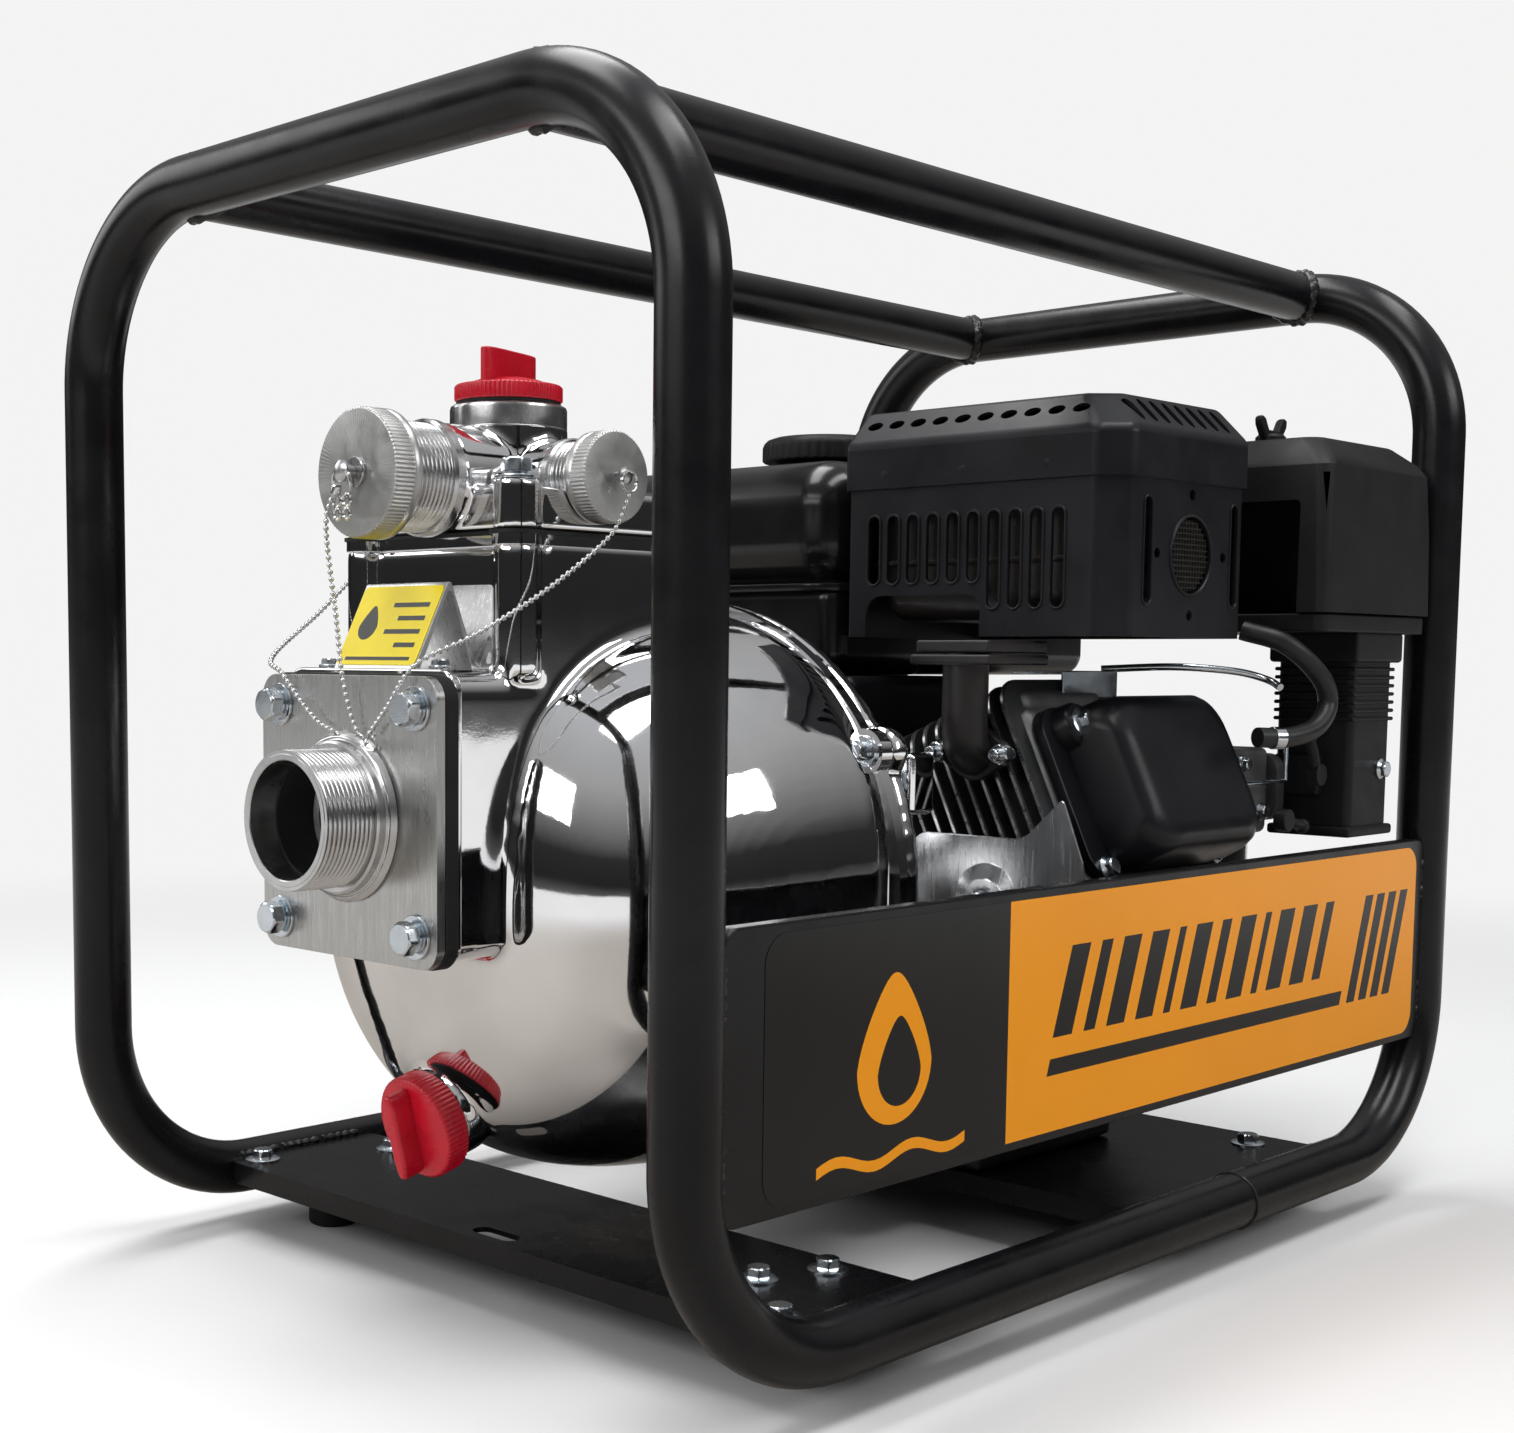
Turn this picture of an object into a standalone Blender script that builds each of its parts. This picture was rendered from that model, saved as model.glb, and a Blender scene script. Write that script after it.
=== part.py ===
"""Portable fire pump: a petrol engine driving a polished self-priming pump in a tube carry frame.

Sizes are in millimetres about the frame's own datum: X along the machine (pump at -X, engine
at +X), Y across it (sign panel at -Y), Z up from the centreline of the bottom rails. place()
turns them into metres and moves the datum so that the origin is the centre of the base.
"""
import math

import bmesh
import bpy
from mathutils import Matrix, Vector

MM = 0.001
CLEAR = 0.3                                 # gap between touching pieces

# Carry frame
TUBE_R = 14.0
HALF_LENGTH = 304.0                         # post centres, from mid-frame
HALF_WIDTH = 200.0
TOP_Z = 482.0
BEND_R = 85.0
SEAM_X = 99.0                               # butt joint of the two bottom rails
TOP_RAIL_Y = 116.0
FOOT_DROP = 28.0                            # foot's underside below the rail centreline
NIPPLE_FACE_X = -336.0
DATUM = Vector((-(NIPPLE_FACE_X + HALF_LENGTH + TUBE_R) / 2, 0.0, FOOT_DROP))
PANEL_Y = -207.0
PANEL_LOW_Z = 61.0
PANEL_HIGH_Z = 173.0
SHEET = 2.5
FRONT_PLATE_X = (-238.0, -145.0)
REAR_PLATE_X = (22.0, 213.0)
PLATE_TOP_Z = 7.5
PLATE_FLANGE = 11.0
FOOT_Y = 160.0
FOOT_R = 14.0

# Pump
SUCTION_Z = 202.0
BOWL_X = -110.0                             # widest section of the cast bowl
BOWL_Z = 161.0
BOWL_R = 134.0
BOWL_DEPTH = 156.0
BOWL_FULLNESS = 3.0                         # 2 is an ellipse, more is squarer
BOWL_WALL = 7.0
BOWL_BACK_X = -92.0
FLANGE_R = 138.5
LUG_R = 11.0
LUG_ANGLES = (30, 90, 150, 210, 330)
FLANGE_X = (-304.0, -299.5)
GASKET_X = (-299.2, -292.8)
BOX_FRONT_X = -292.5
BOX_Y = 56.0
BOX_Z = (143.0, 264.0)
CHAMBER_X = (-254.0, -146.0)
CHAMBER_Y = 57.0
CHAMBER_TOP_Z = 322.0
MANIFOLD_LOW_Z = 323.8
MANIFOLD_TOP_Z = 336.0
NECK_X = -212.0
NECK_R = 26.5
NECK_TOP_Z = 383.0
ARM_Z = 347.5
BOLT_SPREAD = 47.0
BOLT_R = 4.0
BOSS_R = 10.0
DRAIN_TILT = math.radians(14)
DRAIN_CENTRE = Vector((-255.0, 0.0, 64.0))

# Engine
CRANK_Z = 120.0
PTO_X = -25.0
BLOCK_X = (-25.0, 152.0)
BANK = math.radians(25)                     # cylinder's slant above the horizontal, towards -Y
HEAD_X = (-8.0, 118.0)
OIL_AXIS = Vector((0.0, -math.cos(math.radians(25)), math.sin(math.radians(25))))
THROTTLE_Z = 236.0
FAN_X = (160.0, 245.0)
FAN_R = 94.0
PULLEY_R = 48.0
TANK_X = (2.0, 250.0)
TANK_Y = (-16.0, 176.0)
TANK_Z = (262.0, 377.0)
TANK_CAP = Vector((100.0, 74.0, 377.0))
GUARD_X = (0.0, 120.0)
GUARD_Y = (-185.0, -22.0)
GUARD_Z = (282.0, 398.0)
GUARD_WALL = 1.6
CLEANER_X = (150.0, 275.0)
CLEANER_Y = (-213.0, -106.0)
CLEANER_Z = (296.0, 387.0)
CARB_X = 172.0
CARB_Y = -188.0
CARB_Z = 204.0

COLOURS = {
    "black_paint": ((0.012, 0.012, 0.014), 0.0, 0.35),
    "polished": ((0.80, 0.80, 0.80), 1.0, 0.08),
    "brushed": ((0.62, 0.62, 0.62), 1.0, 0.30),
    "zinc": ((0.66, 0.68, 0.70), 1.0, 0.25),
    "steel": ((0.45, 0.45, 0.46), 1.0, 0.35),
    "cast": ((0.30, 0.30, 0.31), 0.9, 0.50),
    "dark_cast": ((0.035, 0.035, 0.038), 0.6, 0.50),
    "rubber": ((0.010, 0.010, 0.010), 0.0, 0.75),
    "plastic": ((0.016, 0.016, 0.018), 0.0, 0.45),
    "red": ((0.45, 0.004, 0.018), 0.0, 0.35),
    "yellow": ((0.75, 0.55, 0.01), 0.0, 0.30),
    "orange": ((0.62, 0.22, 0.01), 0.0, 0.20),
    "brass": ((0.70, 0.50, 0.20), 1.0, 0.30),
}


def place(point):
    """A point in the frame's own millimetres, as metres from the part's origin."""
    return (Vector(point) + DATUM) * MM


# ---------------------------------------------------------------- solids

def solid(name, mesh_maker):
    """A scene object from a function that fills a bmesh in datum millimetres."""
    shape = bmesh.new()
    mesh_maker(shape)
    bmesh.ops.recalc_face_normals(shape, faces=shape.faces)
    for vertex in shape.verts:
        vertex.co = place(vertex.co)
    mesh = bpy.data.meshes.new(name)
    shape.to_mesh(mesh)
    shape.free()
    item = bpy.data.objects.new(name, mesh)
    bpy.context.scene.collection.objects.link(item)
    return item


def box(low, high, bevel=0.0, steps=1):
    """A block between two corners, with all its edges bevelled."""
    low, high = Vector(low), Vector(high)

    def make(shape):
        bmesh.ops.create_cube(shape, size=1.0)
        size = high - low
        bmesh.ops.scale(shape, vec=size, verts=shape.verts)
        bmesh.ops.translate(shape, vec=(low + high) / 2, verts=shape.verts)
        if bevel:
            bmesh.ops.bevel(shape, geom=shape.edges[:], offset=bevel, segments=steps,
                            profile=0.5, affect="EDGES", clamp_overlap=True)
    return solid("box", make)


def turned(profile, start, direction, sides=16):
    """A turned piece: (distance along the axis, radius) pairs, closed at both ends."""
    turn = Vector(direction).to_track_quat("Z", "Y").to_matrix()
    start = Vector(start)

    def make(shape):
        rings = []
        for along, radius in profile:
            if radius < 1e-6:
                rings.append([shape.verts.new(start + turn @ Vector((0, 0, along)))])
                continue
            ring = []
            for step in range(sides):
                angle = 2 * math.pi * (step + 0.5) / sides
                local = Vector((radius * math.cos(angle), radius * math.sin(angle), along))
                ring.append(shape.verts.new(start + turn @ local))
            rings.append(ring)
        for first, second in zip(rings, rings[1:]):
            join_rings(shape, first, second, sides)
        for ring in (rings[0], rings[-1]):
            if len(ring) > 1:
                shape.faces.new(ring)
    return solid("turned", make)


def join_rings(shape, first, second, sides):
    """Faces between two rings, either of which may be a single tip."""
    for step in range(sides):
        after = (step + 1) % sides
        if len(first) == 1:
            shape.faces.new((first[0], second[step], second[after]))
        elif len(second) == 1:
            shape.faces.new((first[step], first[after], second[0]))
        else:
            shape.faces.new((first[step], first[after], second[after], second[step]))


def rod(start, end, radius, sides=16, end_radius=None):
    """A round bar between two points."""
    start, end = Vector(start), Vector(end)
    length = (end - start).length
    profile = [(0.0, radius), (length, radius if end_radius is None else end_radius)]
    return turned(profile, start, end - start, sides)


def prism(outline, axis, low, high):
    """A closed outline drawn across one axis and extruded along it."""
    def point(pair, along):
        spots = {"x": (along, pair[0], pair[1]),
                 "y": (pair[0], along, pair[1]),
                 "z": (pair[0], pair[1], along)}
        return Vector(spots[axis])

    def make(shape):
        near = [shape.verts.new(point(pair, low)) for pair in outline]
        far = [shape.verts.new(point(pair, high)) for pair in outline]
        join_rings(shape, near, far, len(outline))
        shape.faces.new(near)
        shape.faces.new(far)
    return solid("prism", make)


def rounded_path(corners, radius, steps=5):
    """A polyline through corners, each inner corner turned into an arc."""
    points = [Vector(corners[0])]
    for before, here, after in zip(corners, corners[1:], corners[2:]):
        before, here, after = Vector(before), Vector(here), Vector(after)
        inward = (before - here).normalized()
        onward = (after - here).normalized()
        half = inward.angle(onward) / 2
        centre = here + (inward + onward).normalized() * (radius / math.sin(half))
        first = here + inward * (radius / math.tan(half)) - centre
        last = here + onward * (radius / math.tan(half)) - centre
        sweep = first.angle(last)
        for step in range(steps + 1):
            share = step / steps
            points.append(centre + (first * math.sin((1 - share) * sweep)
                                    + last * math.sin(share * sweep)) / math.sin(sweep))
    points.append(Vector(corners[-1]))
    return points


def smooth_path(points, per_span=5):
    """A Catmull-Rom curve through hand-set points."""
    points = [Vector(point) for point in points]
    padded = [2 * points[0] - points[1]] + points + [2 * points[-1] - points[-2]]
    path = []
    for p0, p1, p2, p3 in zip(padded, padded[1:], padded[2:], padded[3:]):
        for step in range(per_span):
            t = step / per_span
            path.append(0.5 * (2 * p1 + (p2 - p0) * t + (2 * p0 - 5 * p1 + 4 * p2 - p3) * t * t
                               + (3 * p1 - p0 - 3 * p2 + p3) * t ** 3))
    path.append(points[-1])
    return path


def tube(path, radius, sides=10):
    """A round bar swept along a path without twist."""
    path = [Vector(point) for point in path]

    def make(shape):
        forward = (path[1] - path[0]).normalized()
        side = forward.orthogonal().normalized()
        rings = []
        for index, point in enumerate(path):
            ahead = path[min(index + 1, len(path) - 1)] - path[max(index - 1, 0)]
            ahead.normalize()
            side = (side - ahead * side.dot(ahead)).normalized()
            up = ahead.cross(side)
            rings.append([shape.verts.new(point + radius * (side * math.cos(a) + up * math.sin(a)))
                          for a in (2 * math.pi * k / sides for k in range(sides))])
        for first, second in zip(rings, rings[1:]):
            join_rings(shape, first, second, sides)
        shape.faces.new(rings[0])
        shape.faces.new(rings[-1])
    return solid("tube", make)


def combined(base, others, operation):
    """The base with a Boolean by each other solid; the others are used up."""
    for other in others:
        step = base.modifiers.new("step", "BOOLEAN")
        step.operation = operation
        step.solver = "EXACT"
        step.object = other
    graph = bpy.context.evaluated_depsgraph_get()
    mesh = bpy.data.meshes.new_from_object(base.evaluated_get(graph))
    base.modifiers.clear()
    base.data = mesh
    for other in others:
        bpy.data.objects.remove(other)
    return base


def join(base, *others):
    return combined(base, others, "UNION")


def cut(base, *others):
    return combined(base, others, "DIFFERENCE")


def paint(name):
    """The shared look of one finish, as a Principled material."""
    material = bpy.data.materials.get(name)
    if material is None:
        colour, metallic, roughness = COLOURS[name]
        material = bpy.data.materials.new(name)
        material.use_nodes = True
        shader = material.node_tree.nodes["Principled BSDF"]
        shader.inputs["Base Color"].default_value = (*colour, 1.0)
        shader.inputs["Metallic"].default_value = metallic
        shader.inputs["Roughness"].default_value = roughness
    return material


def part(name, item, finish, pivot=(0.0, 0.0, 0.0)):
    """Name a finished solid, clean its mesh and put its origin on its pivot."""
    shape = bmesh.new()
    shape.from_mesh(item.data)
    bmesh.ops.remove_doubles(shape, verts=shape.verts, dist=2e-6)
    bmesh.ops.dissolve_degenerate(shape, edges=shape.edges, dist=2e-6)
    bmesh.ops.dissolve_limit(shape, angle_limit=math.radians(0.3), verts=shape.verts,
                             edges=shape.edges)
    bmesh.ops.triangulate(shape, faces=shape.faces)
    origin = place(pivot)
    bmesh.ops.translate(shape, vec=-origin, verts=shape.verts)
    mesh = bpy.data.meshes.new(name)
    shape.to_mesh(mesh)
    shape.free()
    mesh.materials.append(paint(finish))
    mesh.shade_smooth()
    mesh.set_sharp_from_angle(angle=math.radians(35))
    item.data = mesh
    item.name = name
    item.location = origin
    return item


def hex_bolt(name, seat, direction, across, head, shank, washer=8.0):
    """A hexagon head with its washer and shank; the seat is under the washer."""
    direction = Vector(direction).normalized()
    seat = Vector(seat) + direction * CLEAR
    body = turned([(0, washer), (1.6, washer)], seat, direction, 10)
    nut = turned([(1.0, across / math.sqrt(3)), (1.6 + head, across / math.sqrt(3))],
                 seat, direction, 6)
    stem = rod(seat + direction * 1.0, seat - direction * shank, BOLT_R, 8)
    return part(name, join(body, nut, stem), "zinc")


# ---------------------------------------------------------------- carry frame

def hoop_path(end):
    """Centreline of one hoop; end is -1 at the pump and +1 at the engine."""
    seam = SEAM_X + end * CLEAR / 2
    return rounded_path([(seam, -HALF_WIDTH, 0), (end * HALF_LENGTH, -HALF_WIDTH, 0),
                         (end * HALF_LENGTH, -HALF_WIDTH, TOP_Z),
                         (end * HALF_LENGTH, HALF_WIDTH, TOP_Z),
                         (end * HALF_LENGTH, HALF_WIDTH, 0), (seam, HALF_WIDTH, 0)], BEND_R)


def hoop_cutters():
    """Both hoops a little fat, for coping what is welded to them."""
    return [tube(hoop_path(end), TUBE_R + CLEAR) for end in (-1, 1)]


def channel(x_low, x_high):
    """A cross plate with its long edges turned down, coped around the rails."""
    low_z = PLATE_TOP_Z - PLATE_FLANGE
    outline = [(x_low, low_z), (x_low + SHEET, low_z),
               (x_low + SHEET, PLATE_TOP_Z - SHEET), (x_high - SHEET, PLATE_TOP_Z - SHEET),
               (x_high - SHEET, low_z), (x_high, low_z), (x_high, PLATE_TOP_Z),
               (x_low, PLATE_TOP_Z)]
    return cut(prism(outline, "y", -HALF_WIDTH, HALF_WIDTH), *hoop_cutters(),
               box((x_low - 9, -HALF_WIDTH - 20, -30), (x_high + 9, -HALF_WIDTH + 6, 30)),
               box((x_low - 9, HALF_WIDTH - 6, -30), (x_high + 9, HALF_WIDTH + 20, 30)))


def carry_frame():
    for name, end in (("frame_hoop_front", -1), ("frame_hoop_rear", 1)):
        part(name, tube(hoop_path(end), TUBE_R), "black_paint")
    for name, side in (("top_rail_near", -1), ("top_rail_far", 1)):
        ends = [(end * HALF_LENGTH, side * TOP_RAIL_Y, TOP_Z) for end in (-1, 1)]
        rail = cut(tube(ends, TUBE_R - 0.6), *hoop_cutters())
        part(name, rail, "black_paint")
    part("base_plate_front", channel(*FRONT_PLATE_X), "black_paint")
    part("base_plate_rear", channel(*REAR_PLATE_X), "black_paint")
    lip = PANEL_Y + 8
    outline = [(PANEL_Y, PANEL_LOW_Z), (lip, PANEL_LOW_Z), (lip, PANEL_LOW_Z + SHEET),
               (PANEL_Y + SHEET, PANEL_LOW_Z + SHEET), (PANEL_Y + SHEET, PANEL_HIGH_Z - SHEET),
               (lip, PANEL_HIGH_Z - SHEET), (lip, PANEL_HIGH_Z), (PANEL_Y, PANEL_HIGH_Z)]
    panel = cut(prism(outline, "x", -HALF_LENGTH + 10, HALF_LENGTH - 10), *hoop_cutters())
    part("side_panel", panel, "orange")
    rear_x = sum(REAR_PLATE_X) / 2 + 72
    front_x = sum(FRONT_PLATE_X) / 2
    for end, x in (("front", front_x), ("rear", rear_x)):
        for side, y in (("near", -FOOT_Y), ("far", FOOT_Y)):
            top = PLATE_TOP_Z - SHEET - CLEAR
            profile = [(0, FOOT_R - 2), (2, FOOT_R - 1), (top + FOOT_DROP, FOOT_R)]
            foot = turned(profile, (x, y, -FOOT_DROP), (0, 0, 1), 10)
            part(f"foot_{end}_{side}", foot, "rubber")


# ---------------------------------------------------------------- pump

def bowl(radius, depth, x_back, steps=7, sides=24):
    """Half an egg turned about the pump's long axis, with a short straight back."""
    start = Vector((x_back, 0, BOWL_Z))
    profile = [(0.0, radius)]
    for step in range(steps + 1):
        angle = math.pi / 2 * step / steps
        power = 2 / BOWL_FULLNESS
        profile.append((x_back - BOWL_X + depth * math.sin(angle) ** power,
                        radius * abs(math.cos(angle)) ** power))
    profile[-1] = (profile[-1][0], 0.0)
    return turned(profile, start, (-1, 0, 0), sides)


def casing():
    """Cast pump body: bowl, suction box, discharge chamber, bosses and drain spout."""
    body = join(bowl(BOWL_R, BOWL_DEPTH, BOWL_BACK_X - 4),
                box((BOX_FRONT_X, -BOX_Y, BOX_Z[0]), (-170, BOX_Y, BOX_Z[1]), 9, 1),
                box((CHAMBER_X[0], -CHAMBER_Y, 200), (CHAMBER_X[1], CHAMBER_Y, CHAMBER_TOP_Z)))
    corners = [(x, side * 50) for x in (CHAMBER_X[0] + 2, CHAMBER_X[1] - 2) for side in (-1, 1)]
    bosses = [rod((x, y, 235), (x, y, CHAMBER_TOP_Z), BOSS_R, 8) for x, y in corners]
    axis = Vector((-math.cos(DRAIN_TILT), 0, -math.sin(DRAIN_TILT)))
    spout = rod(DRAIN_CENTRE - axis * 45, DRAIN_CENTRE - axis * 1.0, 19, 12)
    flange = turned([(0, FLANGE_R), (9, FLANGE_R)], (BOWL_BACK_X, 0, BOWL_Z), (-1, 0, 0), 24)
    lugs = [rod(spot, spot - Vector((12, 0, 0)), LUG_R, 10)
            for spot in lug_places(BOWL_BACK_X - 0.5)]
    body = join(body, flange, spout, *bosses, *lugs)
    inner = bowl(BOWL_R - BOWL_WALL, BOWL_DEPTH - BOWL_WALL, BOWL_BACK_X + 5, 4, 16)
    well = box((CHAMBER_X[0] + 10, -CHAMBER_Y + 17, 190),
               (CHAMBER_X[1] - 10, CHAMBER_Y - 17, CHAMBER_TOP_Z + 5))
    throat = rod((BOX_FRONT_X - 5, 0, SUCTION_Z), (-200, 0, SUCTION_Z), 37, 12)
    drain = rod(DRAIN_CENTRE - axis * 50, DRAIN_CENTRE + axis * 5, 15, 10)
    holes = [rod((BOX_FRONT_X - 5, y, z), (BOX_FRONT_X + 14, y, z), BOLT_R + CLEAR, 8)
             for y, z in bolt_places()]
    return part("pump_casing", cut(body, inner, well, throat, drain, *holes), "polished")


def bolt_places():
    return [(y, SUCTION_Z + z) for y in (-BOLT_SPREAD, BOLT_SPREAD)
            for z in (-BOLT_SPREAD, BOLT_SPREAD)]


def lug_places(x):
    """Centres of the bolt lugs that clamp the bowl to the engine bracket."""
    return [Vector((x, (FLANGE_R - 4) * math.cos(math.radians(angle)),
                    BOWL_Z + (FLANGE_R - 4) * math.sin(math.radians(angle))))
            for angle in LUG_ANGLES]


def suction_side():
    """Bolted suction plate with its male nipple, the rubber gasket and its check flap."""
    x0, x1 = FLANGE_X
    plate = box((x0, -60.5, SUCTION_Z - 60.5), (x1, 60.5, SUCTION_Z + 60.5))
    nipple = turned([(0, 28.6), (1.5, 29.8), (29, 29.8), (29, 33), (33, 33)],
                    (NIPPLE_FACE_X, 0, SUCTION_Z), (1, 0, 0), 20)
    bore = rod((NIPPLE_FACE_X - 5, 0, SUCTION_Z), (x1 + 5, 0, SUCTION_Z), 25, 16)
    holes = [rod((x0 - 5, y, z), (x1 + 5, y, z), BOLT_R + CLEAR, 8) for y, z in bolt_places()]
    part("suction_flange", cut(join(plate, nipple), bore, *holes), "brushed")
    gx0, gx1 = GASKET_X
    seal = box((gx0, -60, SUCTION_Z - 60), (gx1, 60, SUCTION_Z + 60))
    window = rod((gx0 - 5, 0, SUCTION_Z), (gx1 + 5, 0, SUCTION_Z), 26, 16)
    holes = [rod((gx0 - 5, y, z), (gx1 + 5, y, z), BOLT_R + CLEAR, 8) for y, z in bolt_places()]
    part("suction_gasket", cut(seal, window, *holes), "rubber")
    hinge = (GASKET_X[1] + 2.5, 0, SUCTION_Z + 31)
    disc = rod((gx1 + CLEAR, 0, SUCTION_Z), (gx1 + 4.5, 0, SUCTION_Z), 29, 16)
    tab = box((gx1 + CLEAR, -12, SUCTION_Z + 22), (gx1 + 4.5, 12, SUCTION_Z + 31.5))
    weight = rod((gx1 + 4, 0, SUCTION_Z), (gx1 + 10, 0, SUCTION_Z), 19, 10)
    part("check_flap", join(disc, tab, weight), "rubber", hinge)
    names = ("near_low", "near_high", "far_low", "far_high")
    for name, (y, z) in zip(names, bolt_places()):
        hex_bolt(f"suction_bolt_{name}", (x0, y, z), (-1, 0, 0), 13, 5.5, 16)


def manifold():
    """Three-way discharge head over the chamber, its gasket, caps and priming plug."""
    x0, x1 = CHAMBER_X
    corners = [(x, side * 50) for x in (x0 + 2, x1 - 2) for side in (-1, 1)]
    base = join(box((x0, -CHAMBER_Y, MANIFOLD_LOW_Z), (x1, CHAMBER_Y, MANIFOLD_TOP_Z)),
                *[rod((x, y, MANIFOLD_LOW_Z), (x, y, 345), BOSS_R, 8) for x, y in corners])
    hood = turned([(0, 55), (6, 50), (13, 40), (26, NECK_R + 1), (30, NECK_R)],
                  (NECK_X, 0, MANIFOLD_TOP_Z - 4), (0, 0, 1), 16)
    neck = rod((NECK_X, 0, MANIFOLD_LOW_Z), (NECK_X, 0, NECK_TOP_Z), NECK_R, 16)
    front = turned([(0, 23.6), (45, 23.6), (45, 25), (52, 25), (52, 23.9), (82, 23.9)], (NECK_X, 0, ARM_Z), (-1, 0, 0), 16)
    sides = [turned([(0, 19), (50, 17.6), (50, 16.6), (65, 16.6)], (NECK_X, 0, ARM_Z),
                    (0, side, 0), 12) for side in (-1, 1)]
    body = join(base, hood, neck, front, *sides)
    bores = [rod((NECK_X, 0, MANIFOLD_LOW_Z - 5), (NECK_X, 0, NECK_TOP_Z + 5), 20, 12),
             rod((NECK_X, 0, ARM_Z), (NECK_X - 90, 0, ARM_Z), 19.5, 12),
             rod((NECK_X, -70, ARM_Z), (NECK_X, 70, ARM_Z), 13, 10)]
    part("discharge_manifold", cut(body, *bores), "polished")
    seal = cut(box((x0 - 1.5, -CHAMBER_Y - 1.5, CHAMBER_TOP_Z + CLEAR),
                   (x1 + 1.5, CHAMBER_Y + 1.5, MANIFOLD_LOW_Z - CLEAR)),
               box((x0 + 10, -CHAMBER_Y + 17, 300), (x1 - 10, CHAMBER_Y - 17, 340)))
    part("manifold_gasket", seal, "rubber")
    cap("outlet_cap_large", (NECK_X - 86, 0, ARM_Z), (1, 0, 0), 27.75, 14, 24.3)
    cap("outlet_cap_near", (NECK_X, -CHAMBER_Y - 12.5, ARM_Z), (0, 1, 0), 20, 12, 17)
    cap("outlet_cap_far", (NECK_X, CHAMBER_Y + 12.5, ARM_Z), (0, -1, 0), 20, 12, 17)
    plug = turned([(0, 18.6), (14.5, 18.6), (14.5, 24.5), (22, 24.5), (25, 22), (27, 14)],
                  (NECK_X, 0, NECK_TOP_Z - 14 + CLEAR), (0, 0, 1), 16)
    grip = box((NECK_X - 21, -4, NECK_TOP_Z + 6), (NECK_X + 21, 4, NECK_TOP_Z + 24), 2.5)
    part("prime_plug", join(plug, grip), "red", (NECK_X, 0, NECK_TOP_Z))


def cap(name, face, inward, radius, length, hollow):
    """A screw cap with a keeper stud in the middle of its face."""
    shell = turned([(0, radius - 1.2), (1.2, radius), (length, radius)], face, inward, 16)
    face, inward = Vector(face), Vector(inward)
    stud = turned([(0, 4), (5, 4), (5, 2.6), (10, 2.6), (10, 3.4), (12, 3.4)],
                  face + inward * 2, -inward, 8)
    room = rod(face + inward * 3, face + inward * (length + 5), hollow, 24)
    return part(name, cut(join(shell, stud), room), "brushed", face)


def drain_plug():
    """Winged plug low on the bowl, tipped a little downwards."""
    axis = Vector((-math.cos(DRAIN_TILT), 0, -math.sin(DRAIN_TILT)))
    head = turned([(-10, 13.2), (0, 13.2), (0, 23), (2, 24), (10, 24), (14, 18)],
                  DRAIN_CENTRE, axis, 16)
    fin = box((-7.5, -4.5, -23), (7.5, 4.5, 23), 2.5)
    spin = Matrix.Rotation(-DRAIN_TILT, 4, "Y")
    centre = (DRAIN_CENTRE + axis * 18) * MM
    for vertex in fin.data.vertices:
        vertex.co = spin @ (vertex.co - DATUM * MM) + centre + DATUM * MM
    part("drain_plug", join(head, fin), "red", DRAIN_CENTRE)


def sign_bracket():
    """Bent sign plate standing on the suction box like a tent."""
    foot_z = BOX_Z[1] + CLEAR
    front, apex, back = (-288.0, foot_z), (-269.0, 302.0), (CHAMBER_X[0] - 0.5, foot_z)
    t = 1.6
    outline = [front, (front[0] + t, foot_z), (apex[0], apex[1] - 2.4 * t),
               (back[0] - t, foot_z), back, (apex[0] + 0.4, apex[1]), (apex[0] - 0.4, apex[1])]
    part("sign_bracket", prism(outline, "y", -28, 28), "yellow")


def rotating_parts():
    """Crankshaft through to the impeller, with the flywheel at the recoil end."""
    pivot = (0, 0, CRANK_Z)
    start = (-166, 0, CRANK_Z)
    shaft = turned([(0, 7), (30, 7), (30, 9.5), (145, 9.5), (145, 15), (332, 15), (332, 9),
                    (392, 9)], start, (1, 0, 0), 10)
    web = box((22, -15, CRANK_Z - 40), (38, 15, CRANK_Z + 34), 3)
    web2 = box((82, -15, CRANK_Z - 40), (98, 15, CRANK_Z + 34), 3)
    throw = rod((30, 0, CRANK_Z + 22), (90, 0, CRANK_Z + 22), 12, 8)
    part("crankshaft", join(shaft, web, web2, throw), "steel", pivot)
    eye = turned([(0, 28), (6, 30), (10, 44), (14, 64), (22, 64), (22, 14), (30, 14)],
                 (-168, 0, CRANK_Z), (1, 0, 0), 16)
    hub = rod((-175, 0, CRANK_Z), (-130, 0, CRANK_Z), 9.5 + CLEAR, 10)
    mouth = rod((-170, 0, CRANK_Z), (-160, 0, CRANK_Z), 22, 12)
    part("impeller", cut(eye, hub, mouth), "brass", pivot)
    rim = turned([(0, 78), (24, 78), (24, 66), (30, 62)], (166, 0, CRANK_Z), (1, 0, 0), 16)
    bore = rod((160, 0, CRANK_Z), (200, 0, CRANK_Z), 15 + CLEAR, 10)
    part("flywheel", cut(rim, bore), "cast", pivot)


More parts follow.
